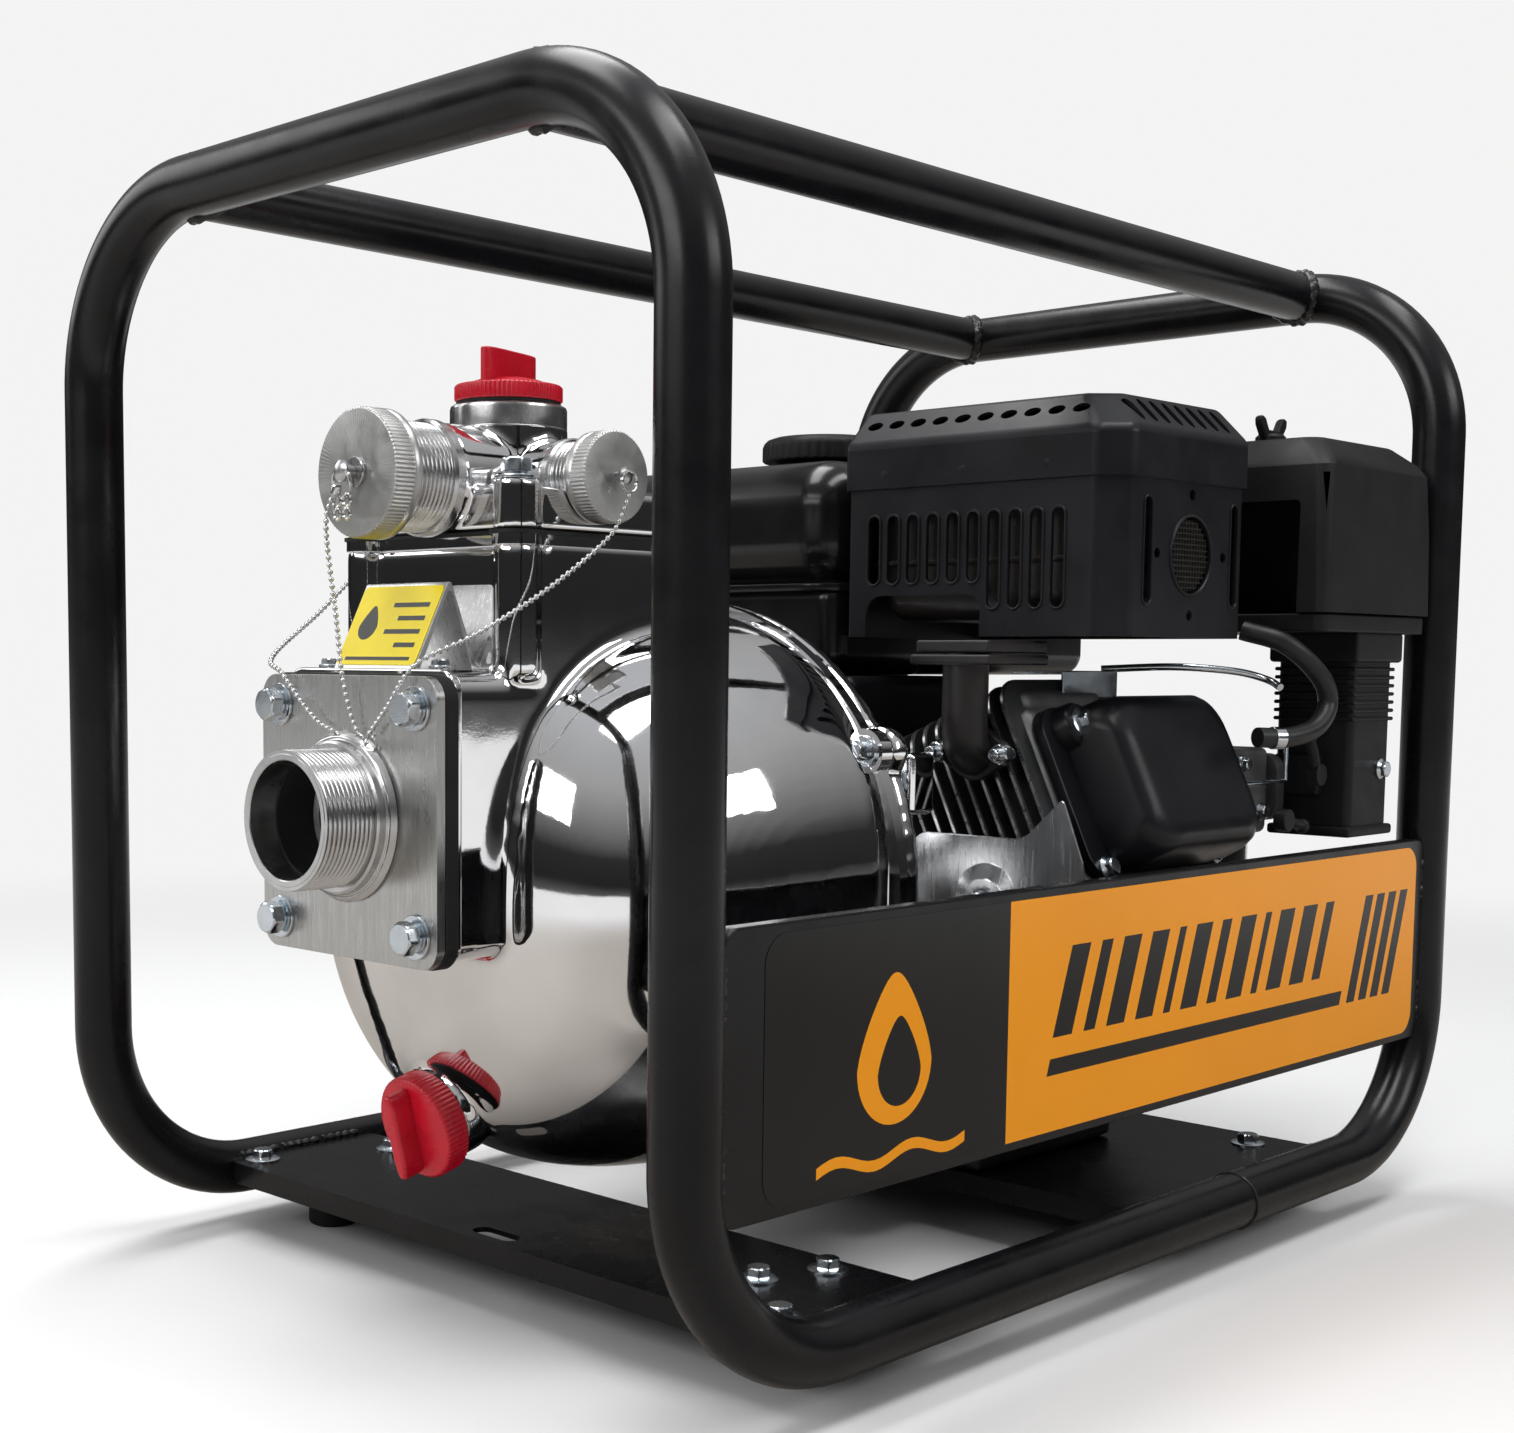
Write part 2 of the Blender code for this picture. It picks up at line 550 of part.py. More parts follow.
def pump_inside():
    """Spiral case around the impeller and the shaft seal behind it."""
    outer = turned([(0, 34), (8, 34), (12, 78), (48, 78)], (-186, 0, CRANK_Z), (1, 0, 0), 16)
    room = turned([(0, 68), (44, 68)], (-170, 0, CRANK_Z), (1, 0, 0), 16)
    eye = rod((-190, 0, CRANK_Z), (-165, 0, CRANK_Z), 22, 12)
    part("volute", cut(outer, room, eye), "cast")
    seal = cut(rod((-118, 0, CRANK_Z), (-100, 0, CRANK_Z), 17, 12),
               rod((-125, 0, CRANK_Z), (-95, 0, CRANK_Z), 10.1, 24))
    part("shaft_seal", seal, "steel")


def adapter():
    """Cast bracket between bowl and engine: a back cover, a cone of ribs and a foot ring."""
    x0 = BOWL_BACK_X + CLEAR
    cover = rod((x0, 0, BOWL_Z), (x0 + 11, 0, BOWL_Z), FLANGE_R, 24)
    cone = turned([(0, 100), (36, 78), (PTO_X - CLEAR - x0 - 10, 74)], (x0 + 10, 0, CRANK_Z + 6),
                  (1, 0, 0), 16)
    low = box((x0 + 5, -46, 16), (PTO_X - CLEAR, 46, CRANK_Z), 6)
    lugs = [rod(spot, spot + Vector((11, 0, 0)), LUG_R, 10) for spot in lug_places(x0 + 0.5)]
    for angle in (30, 150, 210, 330):
        arm = Vector((0, math.cos(math.radians(angle)), math.sin(math.radians(angle))))
        hub = Vector((0, 0, BOWL_Z - 12))
        lugs.append(rod(hub + arm * 92 + Vector((x0 + 5, 0, 0)),
                        hub + arm * 72 + Vector((PTO_X - 6, 0, 0)), 13, 10))
    hollow = turned([(0, 17.5), (34, 17.5), (34, 60), (90, 60)], (x0 - 5, 0, CRANK_Z),
                    (1, 0, 0), 12)
    windows = [box((x0 + 26, side * 100 - 45, CRANK_Z - 22), (x0 + 50, side * 100 + 45,
                                                             CRANK_Z + 22)) for side in (-1, 1)]
    part("pump_adapter", cut(join(cover, cone, low, *lugs), hollow, *windows), "polished")


# ---------------------------------------------------------------- engine

def bank_point(along, across, x):
    """A point in the slanted cylinder's axes: along the bore, and across it (up positive)."""
    out = Vector((0, -math.cos(BANK), math.sin(BANK)))
    up = Vector((0, math.sin(BANK), math.cos(BANK)))
    return Vector((x, 0, CRANK_Z)) + out * along + up * across


def slanted(item):
    """Turn a shape drawn as (X, along, across) into the cylinder's slant."""
    for vertex in item.data.vertices:
        local = vertex.co / MM - DATUM
        vertex.co = place(bank_point(local.y, local.z, local.x))
    item.data.flip_normals()
    return item


def bank_box(along, across, xs, bevel=0.0):
    """A block lying along the cylinder's slant."""
    return slanted(box((xs[0], along[0], across[0]), (xs[1], along[1], across[1]), bevel))


def oil_point(along):
    """A point on the oil filler's axis, counted outwards from the neck's rim."""
    return Vector((BLOCK_X[0] + 115, -94, 50)) + OIL_AXIS * along


def crankcase():
    """Block with its foot flange, sump and the inside cleared for the crank."""
    x0, x1 = BLOCK_X
    foot_z = PLATE_TOP_Z + CLEAR
    block = box((x0, -72, foot_z + 12), (x1, 82, CRANK_Z + 78), 12)
    foot = box((x0 + 50, -98, foot_z), (x1, 98, foot_z + 14), 3)
    stub = bank_box((55, 98), (-46, 46), (x0 + 22, x0 + 132), 4)
    body = join(block, foot, stub)
    bore = rod(bank_point(20, 0, 60), bank_point(110, 0, 60), 34, 16)
    room = box((x0 + 12, -58, CRANK_Z - 58), (x1 - 12, 60, CRANK_Z + 58))
    shaft = rod((x0 - 10, 0, CRANK_Z), (x1 + 10, 0, CRANK_Z), 15.8, 24)
    neck = rod(oil_point(-30), oil_point(0), 13, 12)
    stand = box((100, -66, CRANK_Z + 60), (106, -46, THROTTLE_Z - 3))
    shelf = box((100, -76, THROTTLE_Z - 3 - CLEAR), (150, -44, THROTTLE_Z - CLEAR))
    well = rod(oil_point(-60), oil_point(10), 8.6, 12)
    return part("crankcase", cut(join(body, neck, stand, shelf), bore, room, shaft, well), "cast")


def cylinder():
    """Finned barrel and head, slanted towards the panel side."""
    x0, x1 = HEAD_X
    core = bank_box((98 + CLEAR, 176), (-40, 42), (x0 + 12, x1 - 12), 3)
    port_wall = bank_box((98.5 + CLEAR, 175.5), (38, 70), (x0 + 16, x1 - 40))
    outline = [(x0, -50), (x1, -50), (x1, 54), (x1 - 22, 54), (x1 - 22, 76), (x0, 76)]
    fins = []
    for k in range(9):
        along = 102 + 8.4 * k
        fins.append(slanted(prism(outline, "y", along, along + 3.2)))
    body = join(core, port_wall, *fins)
    bore = rod(bank_point(90, 0, 60), bank_point(150, 0, 60), 34, 16)
    port = rod((x0 - 5, -118, 226), (x0 + 30, -118, 226), 11, 8)
    return part("cylinder", cut(body, bore, port), "dark_cast")


def valve_cover():
    low, high = 176.5, 203
    cover = bank_box((low, high), (-31, 55), (4, 115), 9)
    base = bank_box((low, low + 5), (-33, 57), (1, 117.5), 2)
    return part("valve_cover", join(cover, base), "black_paint")


def shroud():
    """Bare sheet guard under the fins, turned to follow the barrel."""
    sheet = bank_box((100, 176), (-53.5, -51.5), (HEAD_X[0] - 4, HEAD_X[1]))
    wing = bank_box((100, 176), (-53.5, -20), (HEAD_X[0] - 6, HEAD_X[0] - 4))
    side = bank_box((100, 176), (-53.5, -51.5), (HEAD_X[0] - 6, HEAD_X[0]))
    return part("cylinder_shroud", join(sheet, wing, side), "brushed")


def engine_block():
    crankcase()
    cylinder()
    valve_cover()
    shroud()
    plug = join(rod(bank_point(150, 62, 126), bank_point(176, 40, 121), 9, 8),
                rod(bank_point(150, 62, 126), bank_point(132, 70, 140), 6, 10))
    part("spark_plug", cut(plug, bank_box((95, 180), (-50.3, 57.5), (-20, 118.3)),
                           bank_box((176, 200), (10, 90), (90, 140))), "rubber")


def recoil():
    """Fan cover, rope pulley, rope and handle."""
    x0, x1 = FAN_X
    axis = (0, 0, CRANK_Z)
    shell = turned([(0, FAN_R), (52, FAN_R), (68, FAN_R - 12), (x1 - x0, FAN_R - 26)],
                   (x0, 0, CRANK_Z), (1, 0, 0), 20)
    hood = box((x0, -84, CRANK_Z), (x0 + 52, 84, CRANK_Z + 112), 10)
    room = turned([(-5, FAN_R - 4), (50, FAN_R - 4), (50, 58), (x1 - x0 - 4, 58)],
                  (x0, 0, CRANK_Z), (1, 0, 0), 20)
    hood_room = box((x0 - 5, -78, CRANK_Z), (x0 + 46, 78, CRANK_Z + 106))
    rope_z = CRANK_Z + PULLEY_R - 2
    rope_x = x0 + 68
    port = rod((rope_x, 40, rope_z), (rope_x, 120, rope_z), 6, 8)
    nose = rod((rope_x, 52, rope_z), (rope_x, 84, rope_z), 10, 8)
    slots = []
    for k in range(1, 8):
        angle = math.radians(22.5 + 45 * k)
        spot = Vector((x1 - 10, 40 * math.cos(angle), CRANK_Z + 40 * math.sin(angle)))
        slots.append(rod(spot, spot + Vector((20, 0, 0)), 9, 8))
    part("recoil_cover", cut(join(shell, hood, nose), room, hood_room, port, *slots), "black_paint")
    wheel = cut(turned([(0, PULLEY_R + 6), (3, PULLEY_R - 2), (9, PULLEY_R - 2),
                        (12, PULLEY_R + 6)], (rope_x - 6, 0, CRANK_Z), (1, 0, 0), 16),
                rod((rope_x - 20, 0, CRANK_Z), (rope_x + 20, 0, CRANK_Z), 9.6, 24))
    part("recoil_pulley", wheel, "plastic", axis)
    handle_y = 96.0
    part("starter_rope", rod((rope_x, 56, rope_z), (rope_x, handle_y - CLEAR, rope_z), 2.5, 8),
         "rubber")
    grip = turned([(0, 7), (3, 10), (14, 9), (30, 10), (34, 8)], (rope_x, handle_y, rope_z),
                  (0, 1, 0), 10)
    bar = rod((rope_x - 34, handle_y + 22, rope_z), (rope_x + 30, handle_y + 22, rope_z), 9, 8)
    part("recoil_handle", join(grip, bar), "plastic", (rope_x, handle_y, rope_z))


def fuel_tank():
    x0, x1 = TANK_X
    y0, y1 = TANK_Y
    z0, z1 = TANK_Z
    seam = 309.0
    body = join(box((x0, y0, seam - 2), (x1, y1, z1), 20, 2),
                box((x0 + 2, y0 + 2, z0), (x1 - 2, y1 - 2, seam + 4), 10),
                box((x0 - 3, y0 - 3, seam - 3), (x1 + 3, y1 + 3, seam + 2)),
                rod((TANK_CAP.x, TANK_CAP.y, z1 - 8), (TANK_CAP.x, TANK_CAP.y, z1 + 7), 27, 16),
                box((30, 40, CRANK_Z + 78 + CLEAR), (60, 76, z0 + 4)),
                box((110, 40, CRANK_Z + 78 + CLEAR), (140, 76, z0 + 4)))
    room = box((x0 + 8, y0 + 8, z0 + 8), (x1 - 8, y1 - 8, z1 - 8), 10)
    mouth = rod((TANK_CAP.x, TANK_CAP.y, z1 - 30), (TANK_CAP.x, TANK_CAP.y, z1 + 20), 22, 12)
    part("fuel_tank", cut(body, room, mouth), "black_paint")
    top = z1 + 7 + CLEAR
    lid = join(turned([(0, 36), (9, 36), (14, 33), (14.2, 32)], (TANK_CAP.x, TANK_CAP.y, top),
                      (0, 0, 1), 16),
               rod((TANK_CAP.x, TANK_CAP.y, top - 14), (TANK_CAP.x, TANK_CAP.y, top + 2), 20, 12))
    part("fuel_cap", lid, "plastic", (TANK_CAP.x, TANK_CAP.y, top))


def exhaust():
    """Muffler can, its folded guard and the pipe from the head."""
    x0, x1 = GUARD_X
    y0, y1 = GUARD_Y
    z0, z1 = GUARD_Z
    t = GUARD_WALL
    chamfer = 13.0
    plan = [(x0, y0 + chamfer), (x0 + chamfer, y0), (x1, y0), (x1, y1), (x0, y1)]
    top_z, inset = 380.0, 18.0
    body = join(prism(plan, "z", z0, top_z), lid_block(plan, top_z, z1, inset))
    inner_plan = [(x0 + t, y0 + chamfer + 0.4), (x0 + chamfer + 0.4, y0 + t), (x1 - t, y0 + t),
                  (x1 - t, y1 - t), (x0 + t, y1 - t)]
    room = join(prism(inner_plan, "z", z0 - 5, top_z), lid_block(inner_plan, top_z - 0.01,
                                                                 z1 - t, inset))
    slots = []
    for k in range(6):
        y = y1 - 20 - k * 13
        slots.append(box((x0 - 5, y - 3, 312), (x0 + 5, y + 3, 338)))
    for k in range(4):
        y = y1 - 98 - k * 13
        slots.append(box((x0 - 5, y - 3, 296), (x0 + 5, y + 3, 342)))
    hole = rod((x0 + 68, y0 - 5, 322), (x0 + 68, y0 + 5, 322), 19, 12)
    for x in (x0 + 27, x0 + 108):
        slots.append(box((x - 3, y0 - 5, 300), (x + 3, y0 + 5, 344)))
    part("muffler_guard", cut(body, room, hole, *slots), "black_paint")
    can = box((x0 + 10, y0 + 14, z0 + 8), (x1 - 10, y1 - 12, 372), 14)
    outlet = rod((x0 + 68, y0 + 20, 322), (x0 + 68, y0 + 6, 322), 14, 10)
    part("muffler", join(can, outlet), "dark_cast")
    flange = box((-17, -144, 210), (-11, -92, 242), 3)
    riser = box((-40, -134, 212), (-11.5, -102, 240), 4)
    up = box((-40, -130, 236), (-20, -106, 275), 3)
    bend = box((-40, -130, 262), (30, -106, 281.5), 4)
    part("exhaust_pipe", join(flange, riser, up, bend), "dark_cast")


def lid_block(plan, low, high, inset):
    """The chamfered top of the guard: the plan drawn in along its two outer sides."""
    x_low = min(x for x, _ in plan)
    y_low = min(y for _, y in plan)
    shrunk = []
    for x, y in plan:
        shrunk.append((x + inset if x < x_low + 20 else x, y + inset if y < y_low + 20 else y))

    def make(shape):
        lower = [shape.verts.new((x, y, low)) for x, y in plan]
        upper = [shape.verts.new((x, y, high)) for x, y in shrunk]
        join_rings(shape, lower, upper, len(plan))
        shape.faces.new(lower)
        shape.faces.new(upper)
    return solid("lid", make)


def intake():
    """Carburettor, air cleaner, breather hose and the controls on them."""
    x0, x1 = CLEANER_X
    y0, y1 = CLEANER_Y
    z0, z1 = CLEANER_Z
    cover = join(box((x0, y0, z0), (x1, y1, z1 - 16), 4),
                 lid_block([(x0, y0), (x1, y0), (x1, y1), (x0, y1)], z1 - 17, z1, 16))
    room = box((x0 + 3, y0 + 3, z0 - 5), (x1 - 3, y1 - 3, z1 - 20))
    notch = box((x0 - 5, y0 - 5, z0 - 5), (x0 + 38, y0 + 55, z0 + 57))
    stud_x, stud_y = x0 + 60, y1 - 42
    hole = rod((stud_x, stud_y, z1 - 40), (stud_x, stud_y, z1 + 10), 4, 10)
    top = z1 + CLEAR
    part("air_cleaner_cover", cut(cover, room, notch, hole), "plastic", (stud_x, stud_y, z0))
    nut = join(rod((stud_x, stud_y, top), (stud_x, stud_y, top + 7), 7, 8),
               box((stud_x - 15, stud_y - 2.5, top + 3), (stud_x + 15, stud_y + 2.5, top + 17), 1))
    part("air_cleaner_nut", nut, "plastic", (stud_x, stud_y, top))
    tray_top = z0 - CLEAR
    tray = box((x0 + 2, y0 + 2, tray_top - 10), (x1 - 2, y1 - 2, tray_top), 2)
    core = box((x0 + 42, y0 + 12, tray_top - 2), (x1 - 12, y1 - 8, z1 - 26), 6)
    stud = rod((stud_x, stud_y, tray_top - 4), (stud_x, stud_y, z1 - 3), 3, 10)
    elbow = box((194, y0 + 5, CARB_Z - 26), (249, -158, tray_top - 4), 7, 2)
    part("air_cleaner_base", join(tray, core, stud, elbow), "plastic")
    throat = rod((118.5, CARB_Y + 20, CARB_Z), (193.5, CARB_Y + 20, CARB_Z), 17, 10)
    flange = box((119, CARB_Y - 6, CARB_Z - 20), (126, CARB_Y + 46, CARB_Z + 20), 2)
    body = box((140, CARB_Y - 2, CARB_Z - 24), (180, CARB_Y + 42, CARB_Z + 22), 4)
    bowl_ = rod((160, CARB_Y + 20, CARB_Z - 56), (160, CARB_Y + 20, CARB_Z - 20), 19, 12)
    part("carburettor", join(throat, flange, body, bowl_), "cast")
    lever("choke_lever", (184, CARB_Y - 3, CARB_Z + 8), (0, -1, 0), (-0.5, 0, 1), 26, "plastic")
    lever("fuel_valve_lever", (146, CARB_Y - 5, CARB_Z - 14), (0, -1, 0), (1, 0, -0.2), 24,
          "plastic")
    lever("throttle_lever", (138, -60, THROTTLE_Z), (0, 0, 1), (0.5, -1, 0), 44, "zinc")
    hose_path = smooth_path([(134, -176, 287), (142, -196, 280), (160, -206, 264),
                             (168, -207, 250), (156, -207, 238), (136, -203, 233),
                             (117.6, -195, 233)], 3)
    part("breather_hose", tube(hose_path, 5.3, 8), "rubber")


def lever(name, pivot, axis, reach, length, finish):
    """A short lever: a boss on its pivot and a flat arm."""
    pivot, axis = Vector(pivot), Vector(axis).normalized()
    reach = Vector(reach).normalized()
    boss = rod(pivot, pivot + axis * 7, 6, 8)
    arm = rod(pivot + axis * 3.5, pivot + axis * 3.5 + reach * length, 3, 8, 4.5)
    return part(name, join(boss, arm), finish, pivot)


def small_controls():
    rocker = box((176, -94, 196), (200, -84 - CLEAR, 214), 1.5)
    part("engine_switch", rocker, "red", (188, -88, 205))
    knob = join(rod(oil_point(-40), oil_point(2), 7.4, 12),
                turned([(CLEAR, 13), (10, 13), (14, 9)], oil_point(0), OIL_AXIS, 12))
    part("oil_dipstick", knob, "plastic", oil_point(0))


def chains():
    """Ball chains from each outlet cap to the ring at the root of the nipple."""
    routes = {
        "cap_chain_large": [(-306, 3, 341), (-307, 9, 325), (-307, 2, 285), (-308, -3, 262),
                            (-307, -8, 245), (-306.5, -12, 238)],
        "cap_chain_near": [(-212, -77, 339), (-222, -76, 322), (-250, -70, 300),
                           (-285, -64, 280), (-306.5, -50, 267), (-308, -34, 250),
                           (-307, -20, 238)],
        "cap_chain_far": [(-212, 77, 339), (-225, 77, 322), (-262, 72, 292),
                          (-300, 58, 270), (-307.5, 40, 262), (-307.5, 18, 244),
                          (-307, 4, 238)],
    }
    for name, points in routes.items():
        part(name, tube(smooth_path(points, 3), 1.2, 5), "steel")


def main():
    for item in list(bpy.data.objects):
        bpy.data.objects.remove(item)
    carry_frame()
    casing()
    suction_side()
    manifold()
    drain_plug()
    sign_bracket()
    chains()
    rotating_parts()
    pump_inside()
    adapter()
    engine_block()
    recoil()
    fuel_tank()
    exhaust()
    intake()
    small_controls()


main()
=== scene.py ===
"""Looks for the portable fire pump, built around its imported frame.

Sizes are in millimetres about the carry frame's own datum: X along the machine (pump at -X),
Y across it (sign panel at -Y), Z up from the centreline of the bottom rails. The datum is read
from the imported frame, and place() turns datum millimetres into the row's metres.
"""
import math

import bmesh
import bpy
from mathutils import Matrix, Vector, noise


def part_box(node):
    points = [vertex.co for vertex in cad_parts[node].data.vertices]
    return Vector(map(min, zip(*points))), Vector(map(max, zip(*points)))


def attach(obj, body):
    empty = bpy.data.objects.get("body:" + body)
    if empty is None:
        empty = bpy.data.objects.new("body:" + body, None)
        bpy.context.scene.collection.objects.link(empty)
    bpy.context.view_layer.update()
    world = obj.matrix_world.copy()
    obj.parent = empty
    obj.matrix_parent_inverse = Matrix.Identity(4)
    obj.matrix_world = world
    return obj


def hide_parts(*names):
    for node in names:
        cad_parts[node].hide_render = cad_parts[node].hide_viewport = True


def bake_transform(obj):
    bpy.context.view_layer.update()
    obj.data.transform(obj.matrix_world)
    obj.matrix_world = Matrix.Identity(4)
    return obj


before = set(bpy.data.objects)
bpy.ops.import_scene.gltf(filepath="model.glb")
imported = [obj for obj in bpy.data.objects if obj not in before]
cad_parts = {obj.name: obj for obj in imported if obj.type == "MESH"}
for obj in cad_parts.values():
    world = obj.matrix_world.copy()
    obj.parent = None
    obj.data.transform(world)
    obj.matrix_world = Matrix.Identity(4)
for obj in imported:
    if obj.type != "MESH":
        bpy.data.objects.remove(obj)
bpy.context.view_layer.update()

MM = 0.001
UP, AHEAD, BACK, NEAR, FAR = (0, 0, 1), (-1, 0, 0), (1, 0, 0), (0, -1, 0), (0, 1, 0)
HOOP_LOW, HOOP_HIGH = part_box("frame_hoop_front")
REAR_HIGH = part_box("frame_hoop_rear")[1]
TUBE_R = 13.85
HALF_WIDTH = HOOP_HIGH.y / MM - 14.0
HALF_LENGTH = (REAR_HIGH.x - HOOP_LOW.x) / MM / 2 - 14.0
DATUM = Vector((HOOP_LOW.x / MM + 14.0 + HALF_LENGTH, 0.0, 28.0))


def place(point):
    """A point in datum millimetres, in the row's metres."""
    return (Vector(point) + DATUM) * MM


def node(name):
    """A CAD node's lowest and highest corners, in datum millimetres."""
    low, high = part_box(name)
    return low / MM - DATUM, high / MM - DATUM


# ---------------------------------------------------------------- camera

def aim(camera, location, azimuth, dip, roll):
    """Point the camera: azimuth from +Y towards -X, dip below the horizon, roll about the view."""
    a, p, r = math.radians(azimuth), math.radians(dip), math.radians(roll)
    forward = Vector((-math.sin(a) * math.cos(p), math.cos(a) * math.cos(p), -math.sin(p)))
    right = forward.cross(Vector(UP)).normalized()
    up = right.cross(forward)
    turned_right = right * math.cos(r) + up * math.sin(r)
    turned_up = up * math.cos(r) - right * math.sin(r)
    matrix = Matrix((turned_right, turned_up, -forward)).transposed().to_4x4()
    matrix.translation = location
    camera.matrix_world = matrix


def camera():
    data = bpy.data.cameras.new("camera")
    item = bpy.data.objects.new("camera", data)
    bpy.context.scene.collection.objects.link(item)
    data.sensor_width = 36.0
    data.lens = 48.46
    data.shift_x = 0.0915
    data.shift_y = 0.0823
    data.clip_start = 0.05
    data.clip_end = 50
    aim(item, place((-831.8, -695.8, 269.5)), -44.823, 5.082, 0.423)
    bpy.context.scene.camera = item
    bpy.context.scene.view_settings.view_transform = "Standard"


# ---------------------------------------------------------------- materials

MATERIALS = {}
COAT_ROUGHNESS = 0.08
GRAIN_DEPTH = 0.00004
WAVE_DEPTH = 0.0008


def add_node(nodes, kind, inputs=(), **settings):
    """A shader node with some settings and input values filled in."""
    made = nodes.new("ShaderNode" + kind)
    for name, value in settings.items():
        setattr(made, name, value)
    for name, value in dict(inputs).items():
        made.inputs[name].default_value = value
    return made


def finish(name, colour, metallic=0.0, roughness=0.4, spread=0.08, mottle=0.12, mottle_scale=40.0,
           grain=0.05, grain_scale=1500.0, stretch=(1, 1, 1), wave=0.0, wave_scale=12.0,
           tint=None, tint_amount=0.0, specular=0.5):
    """A procedural finish: mottled colour, uneven roughness, fine grain and slow waviness."""
    material = bpy.data.materials.new(name)
    material.use_nodes = True
    nodes, links = material.node_tree.nodes, material.node_tree.links
    shader = nodes["Principled BSDF"]
    for socket, value in (("Metallic", metallic), ("Coat Roughness", COAT_ROUGHNESS),
                          ("Specular IOR Level", specular)):
        shader.inputs[socket].default_value = value
    place_at = add_node(nodes, "TexCoord")
    mapping = add_node(nodes, "Mapping", {"Scale": stretch})
    links.new(place_at.outputs["Object"], mapping.inputs["Vector"])

    def cloud(scale, detail):
        texture = add_node(nodes, "TexNoise", {"Scale": scale, "Detail": detail})
        links.new(mapping.outputs[0], texture.inputs["Vector"])
        return texture.outputs["Fac"]

    def ramp(source, low, high):
        span = add_node(nodes, "MapRange", {"From Min": 0.3, "From Max": 0.7, "To Min": low,
                                            "To Max": high})
        links.new(source, span.inputs["Value"])
        return span.outputs["Result"]

    slow = cloud(mottle_scale, 4)
    dark = [c * (1 - mottle) for c in colour]
    light = [min(c * (1 + mottle) + 0.004 * mottle, 1) for c in colour]
    mix = add_node(nodes, "Mix", data_type="RGBA")
    mix.inputs["A"].default_value = (*dark, 1)
    mix.inputs["B"].default_value = (*light, 1)
    links.new(ramp(slow, 0, 1), mix.inputs["Factor"])
    colour_out = mix.outputs["Result"]
    if tint:
        second = add_node(nodes, "Mix", data_type="RGBA")
        second.inputs["B"].default_value = (*tint, 1)
        links.new(colour_out, second.inputs["A"])
        links.new(ramp(cloud(mottle_scale * 0.6, 2), 0, tint_amount), second.inputs["Factor"])
        colour_out = second.outputs["Result"]
    links.new(colour_out, shader.inputs["Base Color"])
    patches = cloud(mottle_scale * 1.7, 5)
    links.new(ramp(patches, max(roughness - spread, 0.02), roughness + spread),
              shader.inputs["Roughness"])
    normal = None
    for strength, scale, depth in ((grain, grain_scale, GRAIN_DEPTH), (wave, wave_scale, WAVE_DEPTH)):
        if strength:
            bump = add_node(nodes, "Bump", {"Strength": strength, "Distance": depth})
            links.new(cloud(scale, 2), bump.inputs["Height"])
            if normal:
                links.new(normal, bump.inputs["Normal"])
            normal = bump.outputs["Normal"]
    if normal:
        links.new(normal, shader.inputs["Normal"])
    MATERIALS[name] = material


